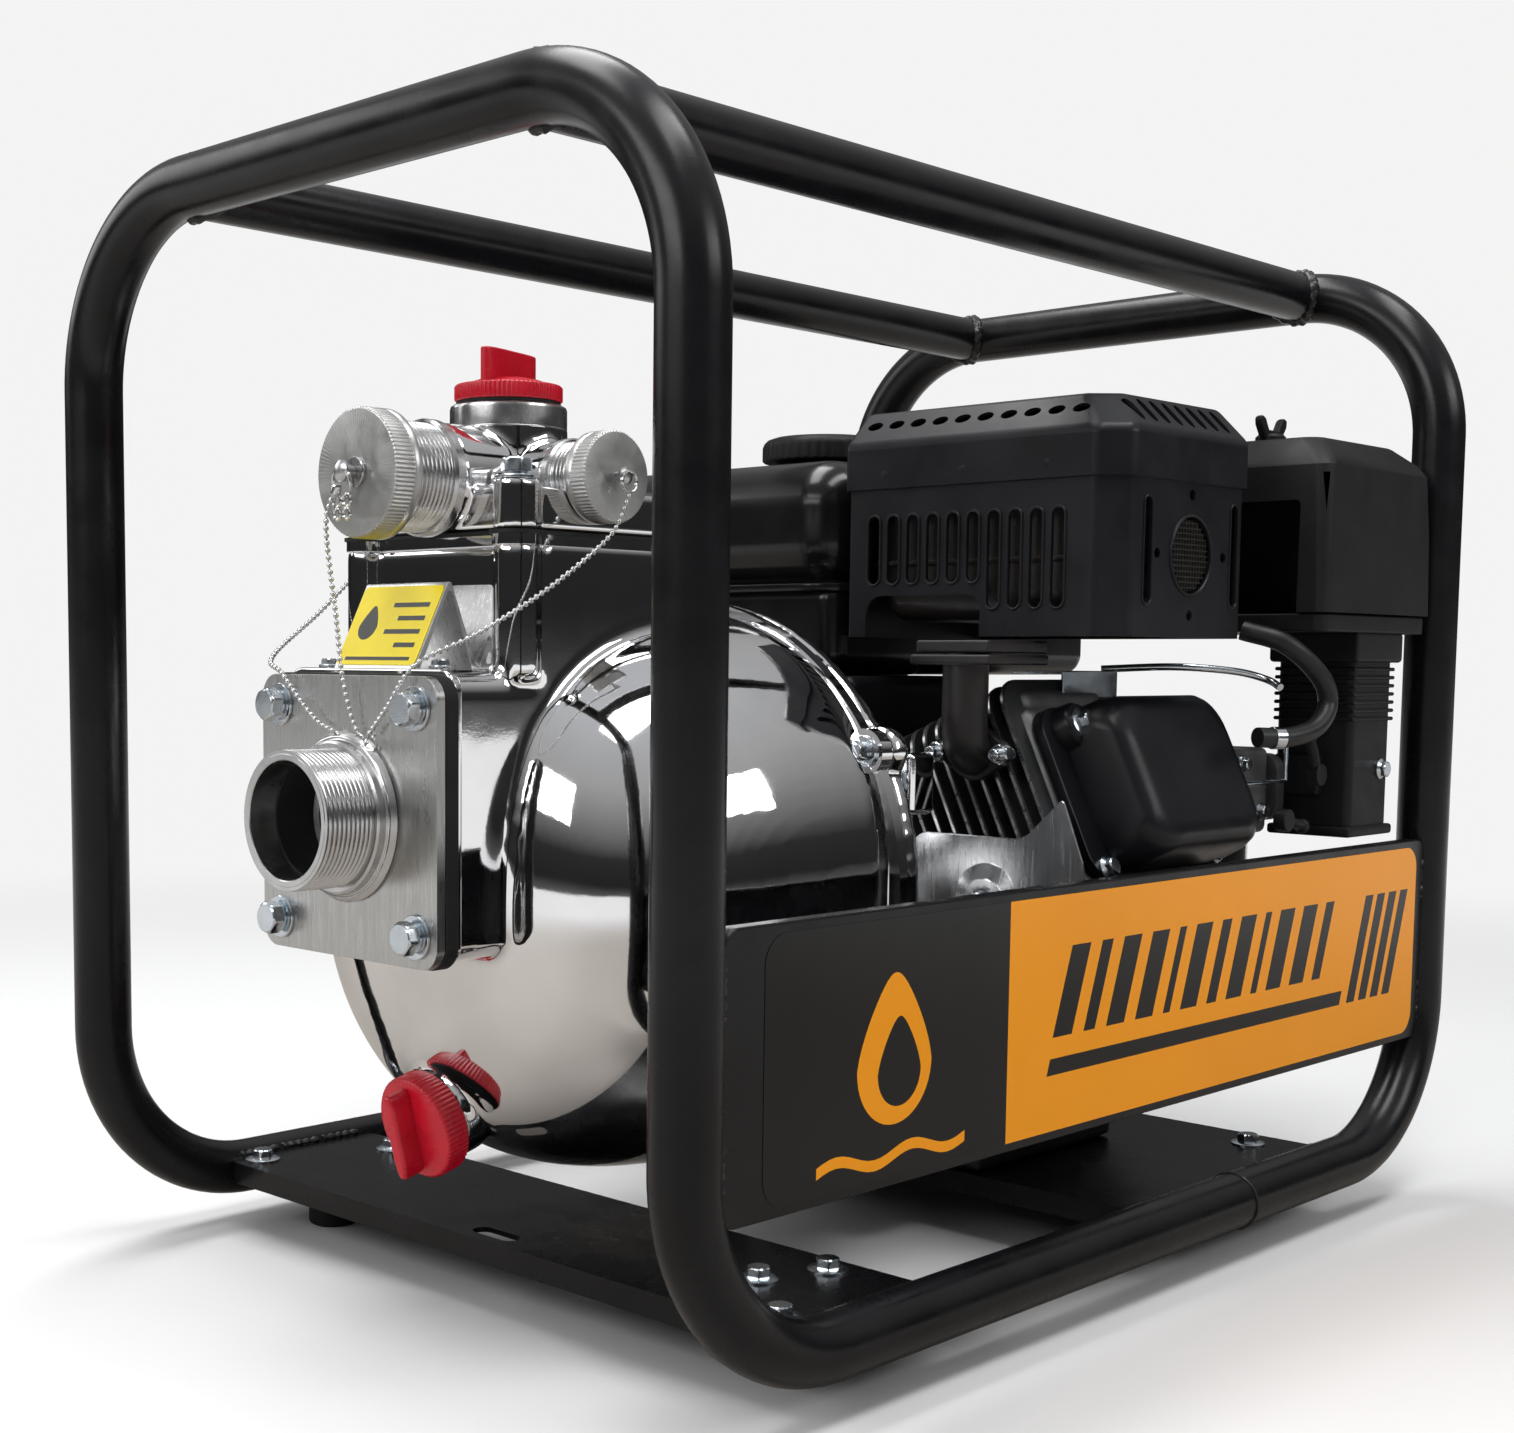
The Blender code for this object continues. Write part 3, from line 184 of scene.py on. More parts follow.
def make_finishes():
    finish("powder_black", (0.0035, 0.0037, 0.0046), 0.0, 0.27, 0.05, 0.3, 25, 0.35, 1300,
           specular=0.30)
    finish("paint_black", (0.006, 0.0062, 0.008), 0.0, 0.33, 0.05, 0.3, 22, 0.35, 1000,
           specular=0.25)
    finish("engine_black", (0.007, 0.0073, 0.0095), 0.0, 0.38, 0.06, 0.3, 30, 0.4, 1400,
           specular=0.24)
    finish("tank_black", (0.006, 0.006, 0.0068), 0.0, 0.20, 0.04, 0.3, 18, 0.15, 500,
           specular=0.36)
    finish("plastic_black", (0.0095, 0.0095, 0.0108), 0.0, 0.50, 0.05, 0.2, 40, 1.0, 2200,
           specular=0.22)
    finish("rubber_black", (0.007, 0.007, 0.007), 0.0, 0.62, 0.08, 0.3, 60, 0.8, 1600,
           specular=0.35)
    finish("hose_black", (0.010, 0.010, 0.011), 0.0, 0.42, 0.06, 0.3, 60, 0.3, 900, specular=0.4)
    finish("polished", (0.86, 0.86, 0.87), 1.0, 0.045, 0.022, 0.04, 30, 0.10, 900, wave=0.35,
           wave_scale=16)
    finish("polished_box", (0.85, 0.85, 0.86), 1.0, 0.06, 0.03, 0.05, 34, 0.12, 900, wave=0.3,
           wave_scale=22)
    finish("brushed", (0.56, 0.56, 0.55), 1.0, 0.30, 0.05, 0.07, 35, 0.22, 120, (12, 12, 1),
           specular=0.5)
    finish("turned", (0.60, 0.60, 0.60), 1.0, 0.24, 0.06, 0.08, 50, 0.35, 1300)
    finish("cap_alloy", (0.50, 0.50, 0.49), 1.0, 0.36, 0.06, 0.10, 60, 0.5, 1100)
    finish("zinc", (0.68, 0.71, 0.74), 1.0, 0.20, 0.07, 0.08, 90, 0.5, 1400,
           tint=(0.60, 0.70, 0.78), tint_amount=0.6)
    finish("steel", (0.50, 0.50, 0.51), 1.0, 0.30, 0.08, 0.12, 90, 0.5, 1400)
    finish("chain_steel", (0.62, 0.62, 0.62), 1.0, 0.18, 0.06, 0.10, 300, 0.0, 900)
    finish("cast_grey", (0.20, 0.20, 0.205), 0.85, 0.50, 0.08, 0.2, 60, 1.0, 1100)
    finish("cast_dark", (0.028, 0.029, 0.031), 0.35, 0.48, 0.08, 0.3, 60, 1.0, 1100)
    finish("fin_edge", (0.50, 0.50, 0.50), 1.0, 0.30, 0.08, 0.2, 120, 0.4, 1400)
    finish("sheet_alloy", (0.58, 0.59, 0.60), 1.0, 0.24, 0.05, 0.06, 30, 0.6, 500, (1, 12, 1))
    finish("heat_steel", (0.006, 0.006, 0.0065), 0.1, 0.42, 0.10, 0.3, 50, 0.8, 900,
           tint=(0.03, 0.02, 0.016), tint_amount=0.5)
    finish("red_plastic", (0.50, 0.004, 0.018), 0.0, 0.28, 0.05, 0.10, 60, 0.4, 1200)
    finish("orange_print", (0.80, 0.285, 0.003), 0.0, 0.17, 0.03, 0.03, 12, 0.05, 700, wave=0.12,
           wave_scale=9, specular=0.2)
    finish("black_print", (0.009, 0.0086, 0.008), 0.0, 0.15, 0.03, 0.15, 14, 0.05, 700, wave=0.12,
           wave_scale=9, specular=0.22)
    finish("yellow_print", (0.84, 0.66, 0.004), 0.0, 0.22, 0.04, 0.05, 40, 0.1, 900, wave=0.1,
           wave_scale=20, specular=0.2)
    finish("brass", (0.62, 0.44, 0.16), 1.0, 0.3, 0.06, 0.12, 60, 0.6, 1000)
    finish("weld", (0.012, 0.012, 0.013), 0.1, 0.38, 0.1, 0.3, 200, 0.8, 700)
    finish("gauze", (0.022, 0.02, 0.018), 0.6, 0.5, 0.1, 0.3, 400, 0.9, 1500)
    finish("rope", (0.30, 0.29, 0.27), 0.0, 0.8, 0.08, 0.35, 500, 1.0, 2600)


# ---------------------------------------------------------------- mesh tools

def from_shape(shape, name="shape"):
    """A linked object from a bmesh in datum millimetres."""
    bmesh.ops.recalc_face_normals(shape, faces=shape.faces)
    for vertex in shape.verts:
        vertex.co = place(vertex.co)
    mesh = bpy.data.meshes.new(name)
    shape.to_mesh(mesh)
    shape.free()
    item = bpy.data.objects.new(name, mesh)
    bpy.context.scene.collection.objects.link(item)
    return item


def join_rings(shape, first, second):
    """Faces between two rings, either of which may be a single tip."""
    sides = max(len(first), len(second))
    for step in range(sides):
        after = (step + 1) % sides
        if len(first) == 1:
            shape.faces.new((first[0], second[step], second[after]))
        elif len(second) == 1:
            shape.faces.new((first[step], first[after], second[0]))
        else:
            shape.faces.new((first[step], first[after], second[after], second[step]))


def lofted(rings, closed=False):
    """A closed skin through rings of points; a tip is a ring of one point."""
    shape = bmesh.new()
    made = [[shape.verts.new(point) for point in ring] for ring in rings]
    for first, second in zip(made, made[1:]):
        join_rings(shape, first, second)
    if closed:
        join_rings(shape, made[-1], made[0])
    else:
        for ring in (made[0], made[-1]):
            if len(ring) > 2:
                shape.faces.new(ring)
    return from_shape(shape)


def turn_matrix(direction):
    return Vector(direction).to_track_quat("Z", "Y").to_matrix()


def angles(count):
    """Equal steps once round a circle."""
    return [2 * math.pi * step / count for step in range(count)]


def spun(start, turn, along, sides, radius_at):
    """A ring of points round an axis; radius_at(angle) gives each one's distance from it."""
    ring = []
    for angle in angles(sides):
        r = radius_at(angle)
        ring.append(start + turn @ Vector((r * math.cos(angle), r * math.sin(angle), along)))
    return ring


def turned(profile, start, direction, sides=64, radius_at=None, closed=False):
    """A turned piece from (along, radius) pairs; radius_at(angle, radius, along) may add teeth."""
    turn, start = turn_matrix(direction), Vector(start)
    rings = []
    for along, radius in profile:
        if radius < 1e-6:
            rings.append([start + turn @ Vector((0, 0, along))])
        else:
            rings.append(spun(start, turn, along, sides, lambda angle: (
                radius_at(angle, radius, along) if radius_at else radius)))
    return lofted(rings, closed)


def rounded_profile(length, radius, edge, steps=4):
    """Profile of a plain bar with both its edges rounded."""
    profile = [(0.0, 0.0)]
    for step in range(steps + 1):
        angle = math.pi / 2 * step / steps
        profile.append((edge - edge * math.cos(angle), radius - edge + edge * math.sin(angle)))
    for along, r in reversed(profile[1:]):
        profile.append((length - along, r))
    profile.append((length, 0.0))
    return profile


def bar(start, end, radius, sides=48, edge=0.6):
    """A round bar between two points with softly rounded ends."""
    start, end = Vector(start), Vector(end)
    return turned(rounded_profile((end - start).length, radius, min(edge, radius * 0.45)), start,
                  end - start, sides)


def rod(start, end, radius, sides=48):
    start, end = Vector(start), Vector(end)
    return turned([(0, radius), ((end - start).length, radius)], start, end - start, sides)


def ring_solid(start, direction, inner, outer, length, sides=64, edge=0.5):
    """A washer or collar with softened rims."""
    e = min(edge, length * 0.4, (outer - inner) * 0.4)
    profile = [(e, inner), (0, inner + e), (0, outer - e), (e, outer), (length - e, outer),
               (length, outer - e), (length, inner + e), (length - e, inner)]
    return turned(profile, start, direction, sides, closed=True)


def box(low, high, edge=0.0, steps=3):
    low, high = Vector(low), Vector(high)
    shape = bmesh.new()
    bmesh.ops.create_cube(shape, size=1.0)
    bmesh.ops.scale(shape, vec=high - low, verts=shape.verts)
    bmesh.ops.translate(shape, vec=(low + high) / 2, verts=shape.verts)
    if edge:
        bmesh.ops.bevel(shape, geom=shape.edges[:], offset=edge, segments=steps, profile=0.5,
                        affect="EDGES", clamp_overlap=True)
    return from_shape(shape)


def spot_on(axis, pair, along):
    spots = {"x": (along, pair[0], pair[1]), "y": (pair[0], along, pair[1]),
             "z": (pair[0], pair[1], along)}
    return Vector(spots[axis])


def prism(outline, axis, low, high):
    """A closed outline drawn across one axis and extruded along it."""
    return lofted([[spot_on(axis, pair, along) for pair in outline] for along in (low, high)])


def corner_arc(before, here, after, radius, steps):
    """The points of the arc that rounds the corner at here."""
    before, here, after = Vector(before), Vector(here), Vector(after)
    inward = (before - here).normalized()
    onward = (after - here).normalized()
    half = inward.angle(onward) / 2
    centre = here + (inward + onward).normalized() * (radius / math.sin(half))
    reach = radius / math.tan(half)
    first, last = here + inward * reach - centre, here + onward * reach - centre
    sweep = first.angle(last)
    return [centre + (first * math.sin((1 - step / steps) * sweep)
                      + last * math.sin(step / steps * sweep)) / math.sin(sweep)
            for step in range(steps + 1)]


def rounded_outline(corners, radius, steps=6):
    """The outline with each corner turned into an arc; radius is one number or one per corner."""
    count = len(corners)
    radii = radius if isinstance(radius, (list, tuple)) else [radius] * count
    outline = []
    for k, here in enumerate(corners):
        if radii[k] < 1e-6:
            outline.append(tuple(Vector(here)))
        else:
            outline += [tuple(point) for point in corner_arc(corners[k - 1], here,
                                                             corners[(k + 1) % count], radii[k], steps)]
    return outline


def rectangle(x0, y0, x1, y1, radius, steps=6):
    return rounded_outline([(x0, y0), (x1, y0), (x1, y1), (x0, y1)], radius, steps)


def slot_outline(x0, y0, x1, y1, steps=8):
    """A slot with fully round ends."""
    return rectangle(x0, y0, x1, y1, min(x1 - x0, y1 - y0) / 2 - 1e-3, steps)


def rounded_path(corners, radius, steps=16):
    """A polyline through corners, each inner corner turned into an arc."""
    points = [Vector(corners[0])]
    for before, here, after in zip(corners, corners[1:], corners[2:]):
        points += corner_arc(before, here, after, radius, steps)
    points.append(Vector(corners[-1]))
    return points


def smooth_path(points, per_span=8):
    """A Catmull-Rom curve through given points."""
    points = [Vector(point) for point in points]
    padded = [2 * points[0] - points[1]] + points + [2 * points[-1] - points[-2]]
    path = []
    for p0, p1, p2, p3 in zip(padded, padded[1:], padded[2:], padded[3:]):
        for step in range(per_span):
            t = step / per_span
            path.append(0.5 * (2 * p1 + (p2 - p0) * t + (2 * p0 - 5 * p1 + 4 * p2 - p3) * t * t
                               + (3 * p1 - p0 - 3 * p2 + p3) * t ** 3))
    path.append(points[-1])
    return path


def tube(path, radius, sides=32, closed=False, radius_at=None):
    """A round bar swept along a path; radius_at(index, angle) may vary it."""
    path = [Vector(point) for point in path]
    last = len(path) - 1
    first_way = path[1] - path[0]
    side = first_way.orthogonal().normalized()
    rings = []
    for index, point in enumerate(path):
        if closed:
            ahead = path[(index + 1) % len(path)] - path[index - 1]
        else:
            ahead = path[min(index + 1, last)] - path[max(index - 1, 0)]
        ahead.normalize()
        side = (side - ahead * side.dot(ahead)).normalized()
        up = ahead.cross(side)
        ring = []
        for angle in angles(sides):
            r = radius_at(index, angle) if radius_at else radius
            ring.append(point + r * (side * math.cos(angle) + up * math.sin(angle)))
        rings.append(ring)
    return lofted(rings, closed)


def evaluated(item):
    """The item with its modifiers applied."""
    graph = bpy.context.evaluated_depsgraph_get()
    mesh = bpy.data.meshes.new_from_object(item.evaluated_get(graph))
    item.modifiers.clear()
    item.data = mesh
    return item


def combined(base, others, operation, solver="MANIFOLD"):
    """The base with a Boolean by each other solid; the others are used up."""
    for other in others:
        step = base.modifiers.new("step", "BOOLEAN")
        step.operation = operation
        step.solver = solver
        step.object = other
        evaluated(base)
        bpy.data.objects.remove(other)
    return base


def join(base, *others):
    return combined(base, others, "UNION")


def cut(base, *others):
    return combined(base, others, "DIFFERENCE")


def gathered(first, *others):
    """Several separate shells in one object."""
    shape = bmesh.new()
    for item in (first, *others):
        shape.from_mesh(item.data)
    mesh = bpy.data.meshes.new("gathered")
    shape.to_mesh(mesh)
    shape.free()
    first.data = mesh
    for item in others:
        bpy.data.objects.remove(item)
    return first


def softened(item, voxel=1.6, passes=6, factor=0.5):
    """Cast-like fillets: the solid remeshed finely and relaxed."""
    remesh = item.modifiers.new("remesh", "REMESH")
    remesh.mode = "VOXEL"
    remesh.voxel_size = voxel * MM
    relax = item.modifiers.new("relax", "SMOOTH")
    relax.factor = factor
    relax.iterations = passes
    return evaluated(item)


def edged(item, width=0.6, steps=2, angle=32):
    """Small rounded edges where faces meet at an angle."""
    bevel = item.modifiers.new("bevel", "BEVEL")
    bevel.width = width * MM
    bevel.segments = steps
    bevel.limit_method = "ANGLE"
    bevel.angle_limit = math.radians(angle)
    bevel.use_clamp_overlap = True
    bevel.harden_normals = False
    return evaluated(item)


def moved(item, matrix):
    """The item's mesh moved by a matrix given in datum millimetres."""
    shift = Matrix.Translation(DATUM * MM)
    scale = Matrix.Scale(MM, 4)
    item.data.transform(shift @ scale @ matrix @ scale.inverted() @ shift.inverted())
    return item


def piece(name, item, material, body="root", replaces=(), sharp=32):
    """Name a finished shape, shade it, paint it and hang it on its body."""
    item.name = name
    item.data.name = name
    item.data.materials.clear()
    item.data.materials.append(MATERIALS[material])
    item.data.shade_smooth()
    item.data.set_sharp_from_angle(angle=math.radians(sharp))
    weigh = item.modifiers.new("weigh", "WEIGHTED_NORMAL")
    weigh.keep_sharp = True
    evaluated(item)
    item.data.name = name
    if body:
        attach(item, body)
    if replaces:
        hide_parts(*replaces)
    return item


def fixings(name, shells):
    """Bolts, nuts and clips: one zinc-plated piece."""
    piece(name, gathered(*shells), "zinc")


def helix_thread(start, direction, radius, pitch, length, depth, sides=72, rows=8, bore=None):
    """A threaded sleeve: the outside is a real helix, faded at both ends."""
    turn, start = turn_matrix(direction), Vector(start)
    count = int(length / pitch * rows)
    rings = []
    for k in range(count + 1):
        along = length * k / count
        fade = min(1.0, along / pitch, (length - along) / (0.4 * pitch))
        ring = []
        for step in range(sides):
            angle = 2 * math.pi * step / sides
            phase = (along / pitch - step / sides) % 1.0
            dip = abs(2 * phase - 1)
            r = radius - depth * dip ** 1.4 * fade - 0.35 * (1 - fade)
            ring.append(start + turn @ Vector((r * math.cos(angle), r * math.sin(angle), along)))
        rings.append(ring)
    if bore:
        for along in (length, 0.0):
            rings.append(spun(start, turn, along, sides, lambda angle: bore))
    return lofted(rings, closed=bool(bore))


def knurled(profile, start, direction, teeth=96, depth=0.35, lengths=(2, 12)):
    """A turned cap whose side carries straight teeth between two heights."""
    def radius_at(angle, radius, along):
        if lengths[0] <= along <= lengths[1]:
            return radius - depth * (0.5 + 0.5 * math.cos(angle * teeth))
        return radius
    return turned(profile, start, direction, teeth * 4, radius_at)


def hex_head(seat, direction, across, height, spin=0.0):
    """A chamfered hexagon head standing on its seat."""
    turn, seat = turn_matrix(direction), Vector(seat)
    rings = []
    for along, limit in ((0, across / math.sqrt(3)), (height - 1.3, across / math.sqrt(3)),
                         (height - 0.5, across / 2 + 0.25), (height, across / 2 - 0.45)):
        rings.append(spun(seat, turn, along, 48, lambda angle: min(
            across / 2 / math.cos((angle + spin) % (math.pi / 3) - math.pi / 6), limit)))
    return lofted(rings)


def bolt(seat, direction, across=13, head=5.5, washer=8.2, spring=True, spin=0.0, flange=False):
    """Hexagon bolt head with its flat washer and spring washer."""
    direction = Vector(direction).normalized()
    seat = Vector(seat) + direction * 0.1
    shells = []
    if flange:
        shells.append(turned([(0, washer), (0.8, washer), (2.2, across / 2)], seat, direction, 40))
        base = 1.2
    else:
        shells.append(ring_solid(seat, direction, 3.0, washer, 1.5, 40, 0.3))
        base = 1.6
        if spring:
            shells.append(ring_solid(seat + direction * base, direction, 3.5, across / 2 - 0.1,
                                     1.7, 32, 0.4))
            base += 1.8
    shells.append(hex_head(seat + direction * base, direction, across, head, spin))
    return gathered(*shells)


def bead(path, radius, closed=True, pitch=4.0):
    """A weld bead: a lumpy bar along a path."""
    path = [Vector(point) for point in path]

    def lump(index, angle):
        return radius * (1 + 0.16 * math.sin(index * 2 * math.pi / pitch)
                         + 0.10 * noise.noise(path[index] * 0.35))
    return tube(path, radius, 10, closed, lump)


# ---------------------------------------------------------------- carry frame

RAIL_Z = 0.0
BEND_R = 85.0
SEAM_X = 99.0
SEAM_R = 14.05


def hoop(name, x_sign):
    """One end hoop: two posts, a bottom bend into the side rails and a bent top bar."""
    low, high = node(name)
    post_x = (low.x + 14) if x_sign < 0 else (high.x - 14)
    top = high.z - 14
    y = HALF_WIDTH
    corners = [(SEAM_X, -y, RAIL_Z), (post_x, -y, RAIL_Z), (post_x, -y, top), (post_x, y, top),
               (post_x, y, RAIL_Z), (SEAM_X, y, RAIL_Z)]
    path = []
    for point in rounded_path(corners, BEND_R, 26):
        if not path or (point - path[-1]).length > 0.5:
            path.append(point)
    dense = []
    for a, b in zip(path, path[1:]):
        pieces = max(1, int((b - a).length / 25))
        dense += [a.lerp(b, k / pieces) for k in range(pieces)]
    dense.append(path[-1])
    piece("hoop_" + name[11:], tube(dense, TUBE_R, 40), "powder_black",
          replaces=(name,))


def seam_ring(y):
    """The raised butt weld where the two halves of a side rail meet."""
    ring = [(SEAM_X + 0.6, y + SEAM_R * math.cos(a), SEAM_R * math.sin(a) * 0.985)
            for a in angles(40)]
    return bead(ring, 0.75, pitch=3)


def top_rail(name, body_name):
    """A lifting rail between the hoops' top bars, with its welded ends."""
    low, high = node(name)
    y = (low.y + high.y) / 2
    z = (low.z + high.z) / 2
    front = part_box("frame_hoop_front")[0].x / MM - DATUM.x + 14
    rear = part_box("frame_hoop_rear")[1].x / MM - DATUM.x - 14
    item = rod((front + 6, y, z), (rear - 6, y, z), 13.4, 48)
    piece(body_name, item, "powder_black", replaces=(name,))
    welds = []
    for x, sign in ((front, 1), (rear, -1)):
        for radius, shift in ((2.7, 0.0), (2.0, 2.8)):
            ring = []
            for angle in angles(84):
                across = 13.9 * math.cos(angle)
                lift = 13.9 * math.sin(angle)
                out = math.sqrt(max(TUBE_R ** 2 - lift ** 2 * 0.93, 1.0))
                ring.append((x + sign * (out + shift * 0.6 + 0.2), y + across * 0.97, z + lift * 0.96))
            welds.append(bead(ring, radius, pitch=5.5 if shift else 4.6))
    piece(body_name + "_welds", gathered(*welds), "weld")


def cross_plate(name, piece_name, hole):
    """A pressed cross plate with turned-down edges, welded onto the bottom rails."""
    low, high = node(name)
    half = high.y
    shape = prism(rectangle(low.x, -half, high.x, half, 5), "z", low.z, high.z)
    under = box((low.x + 2.4, -half - 1, low.z - 1), (high.x - 2.4, half + 1, high.z - 2.4), 0)
    cut(shape, under)
    cut(shape, prism(hole, "z", high.z - 6, high.z + 2))
    edged(shape, 1.1, 3)
    piece(piece_name, shape, "powder_black", replaces=(name,))
    welds = []
    for y in (-HALF_WIDTH, HALF_WIDTH):
        inner = y - math.copysign(9.6, y)
        for start in range(3):
            x0 = low.x + 8 + start * (high.x - low.x - 40) / 2
            path = [(x0 + 24 * k / 20, inner + math.copysign(0.5 * math.sin(k), y),
                     high.z + 0.9) for k in range(21)]
            welds.append(bead(path, 2.2, closed=False, pitch=4.2))
    piece(piece_name + "_welds", gathered(*welds), "weld")


def plate_bolts():
    """Flange bolts through the cross plates: feet, casing foot and engine mounts."""
    shells = []
    top_front = node("base_plate_front")[1].z
    top_rear = node("base_plate_rear")[1].z
    for x, y in ((-224, -178), (-224, 178), (-160, -150), (-160, 150), (-191.5, -138)):
        shells.append(bolt((x, y, top_front), UP, 10, 4.5, 9.0, False, 0.3, True))
    for x in (38, 139):
        for y in (-88, 88):
            shells.append(bolt((x, y, 22), UP, 12, 5.5, 9.5, True, 0.2))
    for y in (-160, 160):
        shells.append(bolt((189.5, y, top_rear), UP, 10, 4.5, 9.0, False, 0.9, True))
    fixings("plate_bolts", shells)


def foot(name, x, y):
    """A moulded rubber foot with a grooved waist and a recessed screw cup."""
    low, high = node(name)
    r = (high.x - low.x) / 2
    z = low.z
    profile = [(0.4, 0.0), (0.4, 4.6), (7.0, 4.6), (7.0, 5.6), (0.0, 5.6), (0.0, r - 1.6),
               (0.6, r - 0.6), (1.8, r), (10.5, r), (11.6, r - 1.4), (13.4, r - 1.4), (14.5, r - 0.2),
               (22.0, r - 1.0), (31.5, r - 2.4), (32.2, r - 3.2), (32.2, 0.0)]
    item = turned(profile, (x, y, z), UP, 48)
    piece(name.replace("foot", "rubber_foot"), item, "rubber_black",
          replaces=(name,))


def carry_frame():
    hoop("frame_hoop_front", -1)
    hoop("frame_hoop_rear", 1)
    seams = [seam_ring(-HALF_WIDTH), seam_ring(HALF_WIDTH)]
    piece("rail_seams", gathered(*seams), "weld")
    top_rail("top_rail_near", "lifting_rail_near")
    top_rail("top_rail_far", "lifting_rail_far")
    cross_plate("base_plate_front", "cross_plate_front", slot_outline(-232, -24, -222, 4))
    cross_plate("base_plate_rear", "cross_plate_rear", slot_outline(186, 96, 196, 120))
    plate_bolts()
    for name, x, y in (("foot_front_near", -191.5, -160), ("foot_front_far", -191.5, 160),
                       ("foot_rear_near", 189.5, -160), ("foot_rear_far", 189.5, 160)):
        foot(name, x, y)


# ---------------------------------------------------------------- side panel and sign

def side_panel():
    """The folded sheet on the panel side, its printed face and its welds."""
    low, high = node("side_panel")
    face = low.y
    shell = prism(rectangle(low.x, low.z, high.x, high.z, 9), "y", face + 0.35, high.y)
    inside = prism(rectangle(low.x + 2.2, low.z + 2.2, high.x - 2.2, high.z - 2.2, 7), "y",
                   face + 2.4, high.y + 3)
    cut(shell, inside)
    edged(shell, 0.9, 3)
    piece("panel_sheet", shell, "powder_black", replaces=("side_panel",))
    x0, x1 = -269.0, 282.0
    z0, z1 = low.z + 4, high.z - 4
    split = -112.0
    left = rounded_outline([(x0, z0), (split, z0), (split, z1), (x0, z1)], [12, 0, 0, 12], 10)
    right = rounded_outline([(split, z0), (x1, z0), (x1, z1), (split, z1)], [0, 12, 12, 0], 10)
    piece("decal_black", prism(left, "y", face + 0.12, face + 0.36), "black_print")
    orange = prism(right, "y", face + 0.12, face + 0.36)
    piece("decal_orange", orange, "orange_print")
    panel_marks(face, z0, z1, split, x1)
    welds = []
    for x in (low.x + 1.5, high.x - 1.5):
        for z in (low.z + 10, high.z - 34):
            path = [(x, face + 2.5 + 0.3 * math.sin(k), z + 24 * k / 20) for k in range(21)]
            welds.append(bead(path, 2.3, closed=False, pitch=4.0))
    piece("panel_welds", gathered(*welds), "weld")


def drop_outline(x, y, half, tall, count, pinch, power, stretch):
    """A drop: a circle narrowed and stretched in its upper half."""
    outline = []
    for a in angles(count):
        up = math.cos(a)
        outline.append((x + half * math.sin(a) * (1 - pinch * max(up, 0) ** power),
                        y + tall * up * (stretch if up > 0 else 1.0)))
    return outline


def panel_marks(face, z0, z1, split, x1):
    """Generic marks only: a drop over a wave, and slanting bars over a rule."""
    high = z1 - z0
    middle = (z0 + z1) / 2
    cx = -190.0

    def mark(outline):
        return prism(outline, "y", face + 0.05, face + 0.13)
    drop = mark(drop_outline(cx, middle - 7, 24.0, 24.0, 48, 0.45, 1.2, 1.55))
    cut(drop, prism(drop_outline(cx + 3, middle - 10, 14.0, 14.0, 48, 0.45, 1.2, 1.6), "y",
                    face - 1, face + 1))
    wave = [(cx - 48 + 96 * k / 24, z0 + lift + 2.6 * math.sin(k * math.pi / 6))
            for lift, steps in ((11, range(25)), (6.5, range(24, -1, -1))) for k in steps]
    piece("badge_mark", gathered(drop, mark(wave)), "orange_print")
    shells = []
    x, slant = split + 34, 14.0
    low, top = z0 + 0.40 * high, z0 + 0.78 * high
    for width in (15, 9, 15, 15, 6, 15, 9, 15, 6, 15, 15, 9):
        shells.append(mark([(x, low), (x + width, low), (x + width + slant, top), (x + slant, top)]))
        x += width + 9.5
    end, foot_z = x + slant, z0 + 0.24 * high
    shells.append(mark([(split + 30, foot_z), (end, foot_z), (end + 2.5, z0 + 0.31 * high),
                        (split + 32.5, z0 + 0.31 * high)]))
    for k in range(4):
        start = end + 8 + 14 * k
        if start + 16 < x1 - 10:
            shells.append(mark([(start, foot_z), (start + 9, foot_z), (start + 28, top),
                                (start + 19, top)]))
    piece("panel_bars", gathered(*shells), "black_print")


# ---------------------------------------------------------------- pump

AXIS_Z = 120.0
SUCTION_Z = 202.0
PLATE_X = -304.0
BOWL_Z = 161.0
NECK_X = -212
ARM_Z = 347.5
CORNER_POSTS = ((-252, -50), (-252, 50), (-148, -50), (-148, 50))
LUG_R = 134.5
LUGS = [(LUG_R * math.cos(math.radians(degrees)), BOWL_Z + LUG_R * math.sin(math.radians(degrees)))
        for degrees in (30, 90, 150, 210, 330)]


def chamber_plan(grow, radius):
    """The top chamber's plan, grown all round."""
    return rounded_outline([(-254 - grow, -57 - grow), (-140 + grow, -57 - grow),
                            (-140 + grow, 57 + grow), (-254 - grow, 57 + grow)], radius, 8)


def superellipse_ring(x, radius, centre_z, exponent, sides):
    ring = []
    for a in angles(sides):
        c, s = math.cos(a), math.sin(a)
        fuller = (abs(c) ** exponent + abs(s) ** exponent) ** (-1 / exponent) if s > 0 else 1.0
        ring.append(Vector((x, radius * fuller * c, centre_z + radius * fuller * s)))
    return ring


